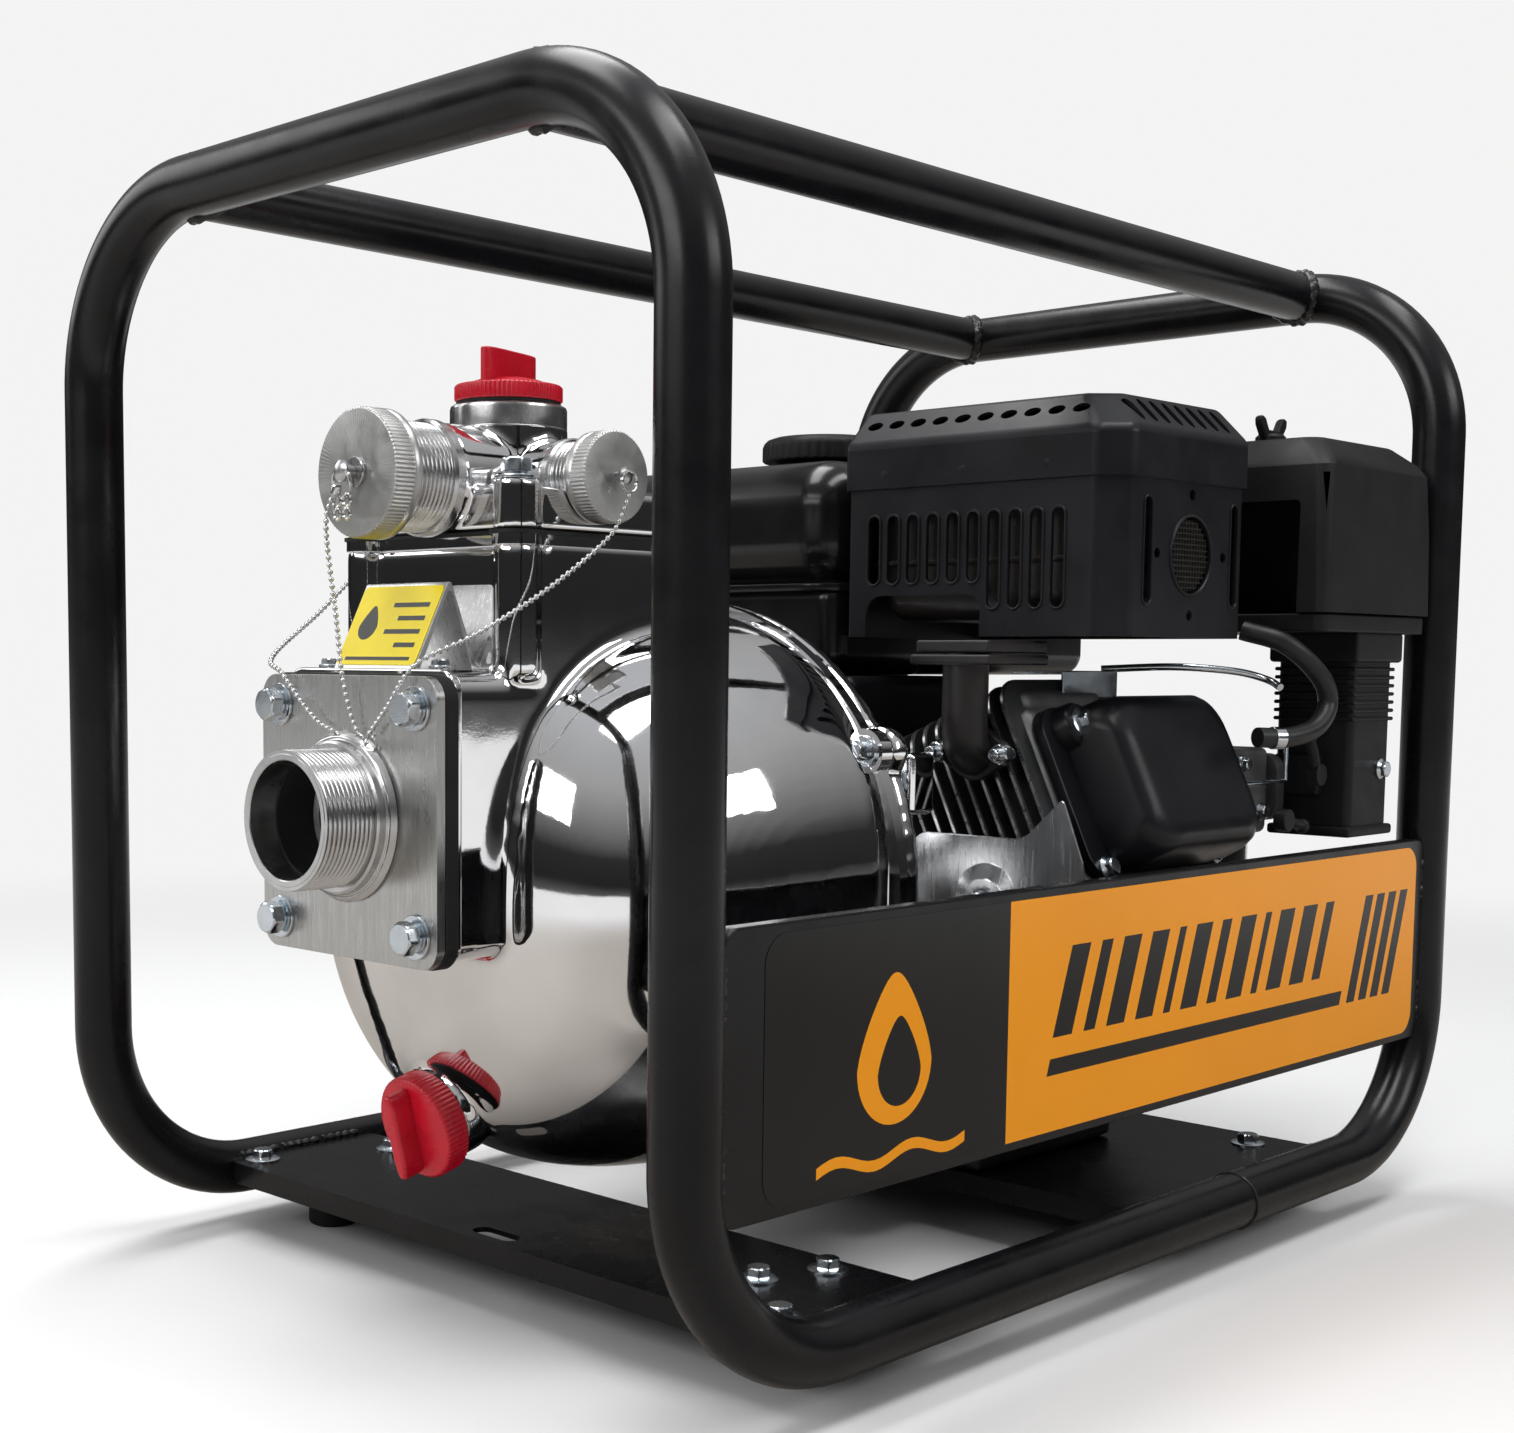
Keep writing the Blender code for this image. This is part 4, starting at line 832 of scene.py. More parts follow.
def bowl_skin():
    """The bulged pump bowl: round in end view, a superellipse from nose to widest ring."""
    wide, nose, r, back = -110.0, -266.0, 134.0, -96.0
    rings = [superellipse_ring(back, 132.0, BOWL_Z, 2.22, 128)]
    steps = 36
    for k in range(steps):
        t = math.pi / 2 * k / (steps - 1) * 0.995
        x = wide + (nose - wide) * math.sin(t) ** (2 / 3)
        radius = r * math.cos(t) ** (2 / 3)
        rings.append(superellipse_ring(x, max(radius, 3.0), BOWL_Z, 2.22, 128))
    return lofted(rings)


def casing_body():
    """The polished casing: bowl, suction box, top chamber and rear flange with its lugs."""
    bowl = bowl_skin()
    suction = prism(rectangle(-56, 143, 56, 264, 9, 8), "x", -292.5, -150)
    chamber = prism(rounded_outline([(-254, -57), (-130, -57), (-130, 57), (-254, 57)],
                                    [14, 4, 4, 14], 8), "z", 200, 318)
    solid = join(bowl, suction, chamber)
    for x, y in CORNER_POSTS:
        solid = join(solid, rod((x, y, 262), (x, y, 318), 10, 40))
    drain = rod((-240, 0, 67.7), (-254.6, 0, 64.1), 20.5, 56)
    solid = join(solid, drain)
    solid = softened(solid, 1.9, 9, 0.5)
    solid = cut(solid, box((-400, -200, -50), (-292.5, 200, 400)),
                box((-400, -200, 317.5), (100, 200, 500)), box((-96, -300, -50), (100, 300, 500)))
    edged(solid, 1.1, 3, 40)
    piece("casing", solid, "polished", replaces=("pump_casing",), sharp=40)
    top = prism(chamber_plan(0, 12), "z", 317.4, 322.0)
    for x, y in CORNER_POSTS:
        top = join(top, rod((x, y, 317.4), (x, y, 322.0), 10.4, 40))
    edged(top, 0.7, 2, 30)
    piece("chamber_rim", top, "polished_box")
    flange = rod((-98, 0, BOWL_Z), (-92, 0, BOWL_Z), 138.0, 160)
    for y, z in LUGS:
        flange = join(flange, rod((-99.5, y, z), (-92, y, z), 11, 40))
    edged(flange, 1.0, 3, 30)
    piece("casing_flange", flange, "polished_box")
    heads = [bolt((-99.5, y, z), AHEAD, 10, 5, 8.0, True, 0.4) for y, z in LUGS]
    fixings("casing_bolts", heads)


def box_rim():
    """The raised rim round the front of the suction box."""
    rim = prism(rectangle(-57.2, 141.8, 57.2, 265.2, 9.5, 8), "x", -292.4, -287.6)
    edged(rim, 1.2, 3, 30)
    piece("suction_rim", rim, "polished_box")


def suction_side():
    x0 = node("suction_flange")[0].x
    thread_x = PLATE_X - 7.8
    plate = prism(rectangle(-60.3, SUCTION_Z - 60.3, 60.3, SUCTION_Z + 60.3, 10, 10), "x",
                  PLATE_X, -299.5)
    cut(plate, rod((-310, 0, SUCTION_Z), (-290, 0, SUCTION_Z), 25.2, 96))
    edged(plate, 0.8, 3, 30)
    piece("suction_plate", plate, "brushed", replaces=("suction_flange",))
    collar = turned([(0.1, 25.2), (0.1, 35.5), (1.2, 36.4), (2.6, 35.2), (4.4, 33.0), (7.4, 32.6),
                     (8.2, 31.6), (8.2, 25.2)], (PLATE_X, 0, SUCTION_Z), AHEAD, 112, closed=True)
    piece("nipple_collar", collar, "turned")
    nipple = helix_thread((thread_x, 0, SUCTION_Z), AHEAD, 29.7, 2.31,
                          thread_x - x0 - 0.3, 1.5, 128, 12, 25.2)
    piece("nipple_thread", nipple, "turned", sharp=50)
    lip = ring_solid((x0 + 1.2, 0, SUCTION_Z), AHEAD, 25.1, 28.0, 1.15, 96, 0.4)
    piece("nipple_lip", lip, "turned")
    # A thin black sleeve inside the nipple's bore: painted shade that darkens the recess, not a real
    # lining.
    bore_shade_sleeve = turned([(0, 24.5), (0, 25.1), (19, 25.1), (19, 24.5)], (-303, 0, SUCTION_Z), AHEAD,
                   72, closed=True)
    piece("nipple_bore_painted_shade", bore_shade_sleeve, "rubber_black")
    gasket = prism(rectangle(-61.0, SUCTION_Z - 61.0, 61.0, SUCTION_Z + 61.0, 11, 10), "x",
                   -299.3, -292.7)
    cut(gasket, rod((-310, 0, SUCTION_Z), (-280, 0, SUCTION_Z), 26.5, 72))
    edged(gasket, 1.4, 3, 30)
    piece("suction_seal", gasket, "rubber_black", replaces=("suction_gasket",))
    for side, y in (("near", -47), ("far", 47)):
        for level, z in (("low", 155), ("high", 249)):
            name = f"suction_bolt_{side}_{level}"
            head = bolt((PLATE_X, y, z), AHEAD, 13, 5.6, 9.4, True, 0.15 * z)
            piece(f"plate_bolt_{side}_{level}", head, "zinc", replaces=(name,))
    flap = turned([(0, 0), (0, 29), (0.8, 30), (2.2, 30), (3.0, 29), (3.0, 20), (4.0, 18.5),
                   (4.0, 0)], (-291.6, 0, SUCTION_Z), BACK, 64)
    tab = box((-291.6, -16, SUCTION_Z + 24), (-289.0, 16, 233), 0.8)
    hinge = rod((-290.3, -15, 233), (-290.3, 15, 233), 1.6, 16)
    piece("flap", gathered(flap, tab, hinge), "rubber_black", "flap",
          replaces=("check_flap",))


def manifold():
    seal = prism(chamber_plan(1, 13), "z", 322.1, 323.7)
    for x, y in CORNER_POSTS:
        seal = join(seal, rod((x, y, 322.1), (x, y, 323.7), 11.4, 40))
    piece("manifold_seal", seal, "rubber_black", replaces=("manifold_gasket",))
    solid = prism(chamber_plan(0, 12), "z", 323.8, 342)
    for x, y in CORNER_POSTS:
        solid = join(solid, rod((x, y, 323.8), (x, y, 344.8), 10, 40))
    solid = join(solid, turned([(0, 33), (8, 29), (16, 27), (40, 26.4)], (NECK_X, 0, 336),
                               UP, 72))
    solid = join(solid, rod((NECK_X, 0, ARM_Z), (-259, 0, ARM_Z), 24.5, 72))
    solid = join(solid, rod((NECK_X, -41, ARM_Z), (NECK_X, 41, ARM_Z), 17.4, 64))
    hump = turned([(0, 0), (0, 21), (6, 20), (9, 15), (10, 0)], (-168, 0, 338), UP, 56)
    solid = join(solid, hump)
    solid = softened(solid, 1.25, 7, 0.5)
    solid = cut(solid, box((-300, -100, 200), (-100, 100, 323.8)),
                box((-300, -100, 371.5), (-100, 100, 500)))
    edged(solid, 0.7, 2, 40)
    piece("manifold_body", solid, "polished_box",
          replaces=("discharge_manifold",), sharp=40)
    neck = turned([(0, 20), (0, 25.6), (0.8, 26.4), (9, 26.4), (10.4, 26.0), (11.2, 24.6),
                   (11.2, 20)], (NECK_X, 0, 371.3), UP, 96, closed=True)
    piece("prime_neck", neck, "turned")
    collars = [turned([(0, 17), (0, 24.6), (1.0, 25.4), (5, 25.4), (6.2, 24.2), (6.2, 17)],
                      (-257.5, 0, ARM_Z), AHEAD, 96, closed=True)]
    for sign in (-1, 1):
        collars.append(turned([(0, 11), (0, 17.4), (0.8, 18.0), (4.2, 18.0), (5.2, 17.2),
                               (5.2, 11)], (NECK_X, sign * 39.5, ARM_Z), (0, sign, 0), 80,
                              closed=True))
    piece("outlet_collars", gathered(*collars), "turned")
    threads = [helix_thread((-263.4, 0, ARM_Z), AHEAD, 23.8, 2.31, 30.6, 1.5, 112, 12, 18)]
    for sign in (-1, 1):
        threads.append(helix_thread((NECK_X, sign * 44.4, ARM_Z), (0, sign, 0), 16.5, 2.31, 20.5,
                                    1.3, 96, 12, 12))
    piece("outlet_threads", gathered(*threads), "turned", sharp=50)
    heads = [bolt((x, y, 344.8), UP, 12, 5.5, 9.2, True, x * 0.1) for x, y in CORNER_POSTS]
    fixings("manifold_bolts", heads)


def caps():
    """The three blanking caps, each with its chain stud."""
    large = knurled([(0, 0), (0, 26.4), (1.2, 27.7), (9.6, 27.7), (10.0, 27.2), (10.4, 27.2),
                     (11.0, 27.7), (13.3, 27.7), (13.9, 27.2), (13.9, 19.0), (12.9, 18.4),
                     (3.0, 18.4), (3.0, 0)], (-298.0, 0, ARM_Z), BACK, 92, 0.95, (1.0, 9.8))
    cut(large, rod((-290, 0, ARM_Z), (-280, 0, ARM_Z), 24.0, 80))
    piece("large_cap", large, "cap_alloy", "cap_large",
          replaces=("outlet_cap_large",), sharp=55)
    stud = [bar((-297.6, 0, ARM_Z), (-304.0, 0, ARM_Z), 2.6),
            turned([(0, 0), (0, 3.6), (0.7, 4.6), (1.9, 4.6), (2.8, 3.2), (3.0, 0)],
                   (-304.4, 0, ARM_Z), AHEAD, 40),
            turned([(0, 2.7), (0, 6.3), (0.9, 6.6), (1.5, 6.2), (1.5, 2.7)], (-298.1, 0, ARM_Z),
                   AHEAD, 40, closed=True)]
    piece("large_cap_stud", gathered(*stud), "steel", "cap_large")
    for side, sign in (("near", -1), ("far", 1)):
        y = sign * 69.5
        cap = knurled([(0, 0), (0, 18.8), (1.0, 19.9), (7.6, 19.9), (8.0, 19.5), (8.5, 19.5),
                       (9.0, 19.9), (11.4, 19.9), (11.9, 19.4), (11.9, 14.0), (3.0, 14.0),
                       (3.0, 0)], (NECK_X, y, ARM_Z), (0, -sign, 0), 70, 0.85, (0.9, 7.8))
        cut(cap, rod((NECK_X, y - sign * 4.6, ARM_Z), (NECK_X, y - sign * 14, ARM_Z), 16.75, 72))
        piece(f"{side}_cap", cap, "cap_alloy", f"cap_{side}",
              replaces=(f"outlet_cap_{side}",), sharp=55)
        stud = [bar((NECK_X, y + sign * -0.4, ARM_Z), (NECK_X, y + sign * 4.6, ARM_Z), 2.0),
                turned([(0, 0), (0, 3.0), (0.5, 3.8), (1.5, 3.8), (2.2, 2.6), (2.4, 0)],
                       (NECK_X, y + sign * 4.2, ARM_Z), (0, sign, 0), 36)]
        piece(f"{side}_cap_stud", gathered(*stud), "steel", f"cap_{side}")


def wing_grip(half, thick):
    """The moulded wing handle over a plug: rounded ends, a little waisted."""
    outline = []
    for a in angles(40):
        c, s = math.cos(a), math.sin(a)
        x = half * math.copysign(abs(c) ** 0.75, c)
        y = thick / 2 * math.copysign(abs(s) ** 0.7, s) * (0.86 + 0.14 * abs(c))
        outline.append((x, y))
    return outline


def prime_plug():
    top = node("prime_plug")[1].z
    z = 384.2
    body = knurled([(0, 0), (0, 23.6), (0.8, 24.4), (6.4, 24.4), (7.2, 23.6), (7.6, 20), (9.4, 15),
                    (10.6, 9), (10.9, 0)], (NECK_X, 0, z), UP, 72, 0.7, (0.4, 6.6))
    grip = prism([(x * 0.966 - y * 0.259 + NECK_X, x * 0.259 + y * 0.966)
                  for x, y in wing_grip(20.5, 8.4)], "z", z + 6.5, top - 0.2)
    edged(grip, 2.0, 4, 30)
    piece("priming_plug", gathered(body, grip), "red_plastic", "prime_cap",
          replaces=("prime_plug",), sharp=50)
    seal = ring_solid((NECK_X, 0, 382.6), UP, 19, 23.6, 1.6, 72, 0.5)
    piece("priming_seal", seal, "rubber_black", "prime_cap")


def drain_plug():
    t = math.radians(14)
    way = Vector((-math.cos(t), 0, -math.sin(t)))
    seat = Vector((-255, 0, 64))
    spout = ring_solid(seat - way * 9, way, 15.0, 19.0, 9.4, 80, 0.6)
    piece("drain_spout", spout, "turned")
    body = knurled([(0, 0), (0, 23.0), (0.8, 23.9), (10.5, 23.9), (12.0, 22.4), (12.6, 18),
                    (13.4, 9), (13.6, 0)], seat + way * 0.6, way, 66, 0.8, (0.6, 10.6))
    grip = prism(wing_grip(20.0, 8.6), "z", 0, 12.5)
    edged(grip, 2.0, 4, 30)
    frame_way = way.to_track_quat("Z", "Y").to_matrix().to_4x4()
    fix = (Matrix.Translation(seat + way * 12.2) @ frame_way
           @ Matrix.Rotation(math.pi / 2, 4, "Z"))
    moved(grip, fix)
    piece("drain_cap", gathered(body, grip), "red_plastic", "drain_cap",
          replaces=("drain_plug",), sharp=50)
    seal = ring_solid(seat + way * 0.05, way, 12, 22.8, 0.6, 60, 0.2)
    piece("drain_seal", seal, "rubber_black", "drain_cap")


def sign_bracket():
    """The folded yellow sign over the suction box: two feet, two slopes, one apex."""
    top = node("sign_bracket")[1].z
    outer = rounded_outline([(-289.6, 264.4), (-254.0, 264.4), (-268.8, top - 0.1),
                             (-270.8, top - 0.1)], [0.4, 0.4, 1.0, 1.0], 4)
    shell = prism(outer, "y", -27.8, 27.8)
    inner = rounded_outline([(-287.2, 262.0), (-256.4, 262.0), (-268.9, top - 3.6),
                             (-270.5, top - 3.6)], [0.4, 0.4, 0.8, 0.8], 4)
    cut(shell, prism(inner, "y", -40, 40))
    edged(shell, 0.5, 2, 30)
    piece("sign_plate", shell, "brushed", replaces=("sign_bracket",))
    front = Vector((-270.8 + 289.6, 0, top - 0.1 - 264.4))
    normal = Vector((-front.z, 0, front.x)).normalized()
    slope = front.normalized()
    foot_at = Vector((-289.6, 0, 264.4))

    def on_front(outline, depth_out=0.36):
        return lofted([[foot_at + slope * up + Vector((0, across, 0)) + normal * depth
                        for across, up in outline] for depth in (0.05, depth_out)])
    face_outline = rectangle(-27.0, 2.4, 27.0, front.length - 1.6, 2.5)
    piece("sign_face", on_front(face_outline, 0.28), "yellow_print")
    shells = [on_front(drop_outline(14.5, 21, 6.2, 6.6, 36, 0.5, 1, 1.5))]
    for k, (start, end) in enumerate(((-22, 2), (-22, -4), (-22, 2), (-22, -8))):
        base = 30.0 - k * 6.4
        shells.append(on_front([(start, base), (end, base), (end, base + 2.2),
                                (start, base + 2.2)]))
    shells.append(on_front([(-22, 4.6), (22, 4.6), (22, 6.2), (-22, 6.2)]))
    piece("sign_marks", gathered(*shells), "black_print")
    heads = [bolt((-283.5, y, 265.0), UP, 7, 2.6, 5.0, False, 0.4) for y in (-38, 38)]
    piece("bracket_screws", gathered(*heads), "zinc")


CHAIN_ROUTES = {
    "large": [(-306, 3, 341), (-307, 9, 325), (-307, 2, 285), (-308, -3, 262), (-307, -8, 245),
              (-306.5, -12, 238)],
    "near": [(NECK_X, -77, 339), (-222, -76, 322), (-250, -70, 300), (-285, -64, 280),
             (-306.5, -50, 267), (-308, -34, 250), (-307, -20, 238)],
    "far": [(NECK_X, 77, 339), (-225, 77, 322), (-262, 72, 292), (-300, 58, 270),
            (-307.5, 40, 262), (-307.5, 18, 244), (-307, 4, 238)],
}
BALL_R = 1.2
BALL_PITCH = 3.1


def spaced(path, pitch):
    """Points at equal steps along a path."""
    points = [path[0].copy()]
    need = pitch
    for a, b in zip(path, path[1:]):
        length = (b - a).length
        at = 0.0
        while length - at >= need:
            at += need
            points.append(a.lerp(b, at / length))
            need = pitch
        need -= length - at
    return points


def ball(centre, radius, rows=6, sides=10):
    profile = []
    for k in range(rows + 1):
        a = math.pi * k / rows
        profile.append((radius - radius * math.cos(a), radius * math.sin(a) if 0 < k < rows else 0))
    return turned(profile, Vector(centre) - Vector((0, 0, radius)), UP, sides)


def ball_chain(path):
    """Beads on a wire, in one mesh."""
    shape = bmesh.new()
    for centre in spaced(path, BALL_PITCH):
        bmesh.ops.create_uvsphere(shape, u_segments=12, v_segments=8, radius=BALL_R,
                                  matrix=Matrix.Translation(centre))
    beads = from_shape(shape)
    return gathered(tube(path, 0.42, 8), beads)


def chains():
    """The three ball chains, each hung from its cap and looped over the nipple's collar."""
    for side, body in (("large", "cap_large"), ("near", "cap_near"), ("far", "cap_far")):
        path = smooth_path(CHAIN_ROUTES[side], 12)
        item = ball_chain(path)
        piece(f"chain_{side}", item, "chain_steel", body=None,
              replaces=(f"cap_chain_{side}",), sharp=60)
        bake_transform(item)


def wire_ring(count, radius, point_at):
    """A closed ring of wire through point_at(angle)."""
    return tube([Vector(point_at(a)) for a in angles(count)], radius, 8, True)


def cap_rings():
    """Split rings and swivels between the cap studs and the chains, and at the collar."""
    sin, cos = math.sin, math.cos
    shells = [wire_ring(36, 0.62, lambda a: (-304.9 - offset * 0.6 - 0.9 * cos(a), 5.9 * sin(a),
                                             342.4 + 6.2 * cos(a))) for offset in (0.0, 1.1)]
    for y in (-3.4, 3.2):
        for radius, z in ((2.6, 335.2), (2.2, 329.6)):
            shells.append(wire_ring(24, 0.85, lambda a: (-305.4, y + radius * sin(a),
                                                         z + radius * cos(a))))
    shells.append(turned([(0, 0), (0, 1.5), (1.2, 2.2), (4.2, 2.2), (5.4, 1.4), (5.4, 0)],
                         (-306.2, 2.2, 342.2), (0, 0.3, -1), 24))
    piece("large_cap_ring", gathered(*shells), "chain_steel", "cap_large")
    for side, sign in (("near", -1), ("far", 1)):
        shells = [wire_ring(36, 0.5, lambda a: (NECK_X + 4.2 * sin(a), sign * (76.6 + offset),
                                                345.0 + 4.4 * cos(a))) for offset in (0.0, 0.9)]
        piece(f"{side}_cap_ring", gathered(*shells), "chain_steel", f"cap_{side}")
    shells = []
    for y, z in ((-12, 236.5), (-20, 236.0), (4, 236.6)):
        shells.append(wire_ring(30, 0.5, lambda a: (-306.2 + 0.8 * sin(2 * a), y + 3.6 * sin(a),
                                                    z - 1.6 + 3.4 * cos(a))))
    for radius, x in ((33.9, -306.4), (34.2, -307.6)):
        shells.append(wire_ring(90, 0.55, lambda a: (x, radius * sin(a), SUCTION_Z + radius * cos(a))))
    piece("collar_rings", gathered(*shells), "chain_steel")


def adapter():
    """The casting between pump and engine: disc cover, cone, low box, windows and ribs."""
    back = node("pump_adapter")[1].x
    disc = rod((-91.0, 0, BOWL_Z), (-81, 0, BOWL_Z), 137.6, 160)
    for y, z in LUGS:
        disc = join(disc, rod((-91.0, y, z), (-80, y, z), 12.0, 40))
    cone = turned([(0, 0), (0, 99), (14, 90), (26, 80), (44, 76), (56.2, 74), (56.2, 0)],
                  (-81.8, 0, 126), BACK, 128)
    lowbox = box((-84, -46, 18), (-26, 46, 110))
    solid = join(disc, cone, lowbox)
    window = rounded_outline([(-70, 96), (-40, 96), (-40, 162), (-70, 156)], 10, 6)
    for start in (-150, 66):
        solid = cut(solid, prism(window, "y", start, start + 84))
    solid = softened(solid, 2.0, 8, 0.5)
    solid = cut(solid, box((-200, -300, -100), (-91.0, 300, 500)),
                box((back - 0.2, -300, -100), (300, 300, 500)))
    edged(solid, 0.8, 2, 40)
    piece("adapter_casting", solid, "polished_box", replaces=("pump_adapter",),
          sharp=40)
    ribs = []
    for degrees in (200, 214, 228, 150, 128, 52, 30):
        a = math.radians(degrees)
        corners = [Vector((x, r * math.cos(a), z + r * math.sin(a))) for x, r, z in
                   ((-80.6, 128, BOWL_Z), (-30, 75, 126), (-30, 66, 126), (-80.6, 84, 126))]
        side = (corners[0] - corners[3]).cross(Vector(BACK)).normalized() * 2.6
        rib = lofted([[p + side for p in corners], [p - side for p in corners]])
        ribs.append(edged(rib, 0.9, 2, 30))
    piece("adapter_ribs", gathered(*ribs), "polished_box")
    arms, heads = [], []
    for sign in (-1, 1):
        for z in (192, 214):
            arms.append(edged(prism([(-82, z - 16), (-28, z - 3), (-28, z + 3), (-82, z + 14)],
                                    "y", sign * 88 - 4, sign * 88 + 4), 1.0, 2, 30))
        arms.append(box((-46, sign * 92 - 12, 196), (-27, sign * 92 + 12, 226), 3))
        heads.append(bolt((-46, sign * 92, 211), AHEAD, 13, 6.5, 10, True, 0.5))
        heads.append(bolt((-46, sign * 78, 62), AHEAD, 13, 6, 10, True, 0.5))
    piece("adapter_arms", gathered(*arms), "polished_box")
    fixings("adapter_bolts", heads)


def paint_kept(**looks):
    """CAD nodes that keep their own shape get a finish."""
    for name, material in looks.items():
        item = bpy.data.objects.get(name)
        if item:
            item.data.materials.clear()
            item.data.materials.append(MATERIALS[material])


def pump_inside():
    paint_kept(volute="cast_grey", impeller="brass", shaft_seal="steel", crankshaft="steel",
               flywheel="cast_grey")


# ---------------------------------------------------------------- engine

BANK = math.radians(25)
TANK_FILLER = (100, 74)
CLEANER_STUD = (210, -148)
OUT_X, OUT_Z = 68, 322
ROPE_Z = AXIS_Z + 46


def bank_point(along, across, x):
    """A point in the slanted cylinder's axes: along its bore, and across it (up positive)."""
    out = Vector((0, -math.cos(BANK), math.sin(BANK)))
    up = Vector((0, math.sin(BANK), math.cos(BANK)))
    return Vector((x, 0, AXIS_Z)) + out * along + up * across


def banked(item):
    """Turn a shape built as (X, along, across) into the cylinder's slant."""
    for vertex in item.data.vertices:
        local = vertex.co / MM - DATUM
        vertex.co = place(bank_point(local.y, local.z, local.x))
    shape = bmesh.new()
    shape.from_mesh(item.data)
    bmesh.ops.recalc_face_normals(shape, faces=shape.faces)
    shape.to_mesh(item.data)
    shape.free()
    return item


def bank_box(along, across, xs, edge=0.0):
    return banked(box((xs[0], along[0], across[0]), (xs[1], along[1], across[1]), edge))


def crankcase():
    block = box((-25, -72, 20), (152, 82, 198), 8)
    stub = bank_box((55, 97.6), (-46, 46), (-3, 107), 3)
    foot_plate = box((25, -97.6, 7.9), (152, 97.6, 22), 2)
    body = join(block, foot_plate, stub)
    for k in range(5):
        x = -14 + 36 * k
        body = join(body, box((x, -76, 30), (x + 4, -60, 150), 1))
    body = softened(body, 2.2, 6, 0.5)
    body = cut(body, box((-200, -300, -100), (300, 300, 8.0)))
    piece("engine_block", body, "cast_dark", replaces=("crankcase",), sharp=45)
    piece("fan_shroud", edged(box((-18, -44, 196), (92, 70, 262.1), 6, 4), 0.5, 2, 40),
          "engine_black")
    shelf = [box((100.2, -66, 190), (105.8, -46, 233), 0.8),
             box((100.2, -76, 232.8), (149.8, -44, 235.6), 0.9)]
    fixings("control_bracket", shelf)
    axis = Vector((0, -math.cos(BANK), math.sin(BANK)))
    spot = Vector((90, -94, 50))
    neck = turned([(0, 0), (0, 13), (28, 13), (29, 12), (29, 0)], spot - axis * 30, axis, 48)
    piece("oil_neck", neck, "cast_dark")
    knob = knurled([(-38, 0), (-38, 4), (0.2, 4), (0.3, 12.4), (1.2, 13), (9, 13), (10, 12.2),
                    (10, 9), (13.8, 8.4), (13.9, 0)], spot, axis, 22, 0.9, (1.2, 9))
    piece("dipstick_knob", knob, "plastic_black", "dipstick",
          replaces=("oil_dipstick",), sharp=45)


def banked_plate(outline, low, high):
    """A plate across the cylinder: an (X, across) outline between two heights along the bore."""
    return banked(lofted([[Vector((x, along, a)) for x, a in outline] for along in (low, high)]))


def fin_outline(g):
    """One cooling fin in (X, across), grown by g: wide, with the taller port side above it."""
    return rounded_outline([(-7.8 - g, -49.8 - g), (117.6 + g, -49.8 - g), (117.6 + g, 53.6 + g),
                            (96 + g, 53.8 + g), (90 + g, 75.8 + g), (-7.8 - g, 75.8 + g)],
                           [9, 9, 6, 6, 10, 16], 6)


def cylinder():
    """Finned barrel and cast head, slanted towards the panel side, with bright fin edges."""
    core = bank_box((98.4, 152), (-39.8, 41.8), (4.2, 105.8), 3)
    piece("barrel", edged(core, 0.8, 2, 35), "cast_dark", replaces=("cylinder",))
    head = join(bank_box((150, 175.8), (-38, 60), (2, 117), 4),
                bank_box((152, 174), (40, 71), (6, 78), 5),
                banked(rod((116.5, 155, 20), (116.5, 175, 20), 9, 32)),
                banked(rod((4, 155, -26), (4, 175, -26), 9, 32)))
    head = softened(head, 1.5, 5, 0.5)
    piece("cylinder_head", head, "cast_grey", sharp=60)
    fins, edges = [], []
    for k in range(9):
        along = 102 + 8.4 * k
        fins.append(edged(banked_plate(fin_outline(0), along + 0.1, along + 3.0), 0.5, 1, 35))
        edges.append(banked_plate(fin_outline(0.16), along + 0.8, along + 2.3))
    piece("cooling_fins", gathered(*fins), "cast_dark")
    piece("fin_edges", gathered(*edges), "fin_edge")


def valve_cover():
    """The rocker cover: a bulged pressing on a flat flange, with a raised plain panel."""
    low = 176.6
    base = banked_plate(rectangle(1.2, -32.8, 117.3, 56.8, 15), low, low + 5.2)
    rings = []
    for along, inset, r in ((low + 4, 0.0, 15), (low + 22, 1.2, 16), (low + 29, 2.8, 18),
                            (low + 32.5, 5.6, 18), (low + 34.6, 9.5, 17), (low + 35.4, 15, 15)):
        outline = rectangle(16 + inset, -30.6 + inset, 126 - inset, 54.6 - inset, r, 8)
        rings.append([Vector((x, along, a)) for x, a in outline])
    dome = banked(lofted(rings))
    pad = banked(turned([(0, 0), (0, 13), (12, 12), (14, 10.5), (14, 0)], (22, low, 44),
                        FAR, 40))
    body = join(edged(base, 0.9, 2, 30), dome, pad)
    piece("rocker_cover", body, "paint_black", replaces=("valve_cover",),
          sharp=38)
    outward = bank_point(1, 0, 0) - bank_point(0, 0, 0)
    heads = [bolt(bank_point(low + 14, 44, 22), outward, 10, 5, 8.4, False, 0.3, True)]
    for across, x in ((-27, 108), (-27, 12), (50, 108)):
        heads.append(bolt(bank_point(low + 5.2, across, x), outward, 8, 4, 6.0, False, 0.3, True))
    fixings("rocker_bolts", heads)
    seal = banked_plate(rectangle(1.0, -33, 117.4, 57, 15), low - 0.8, low - 0.05)
    piece("rocker_seal", seal, "rubber_black")


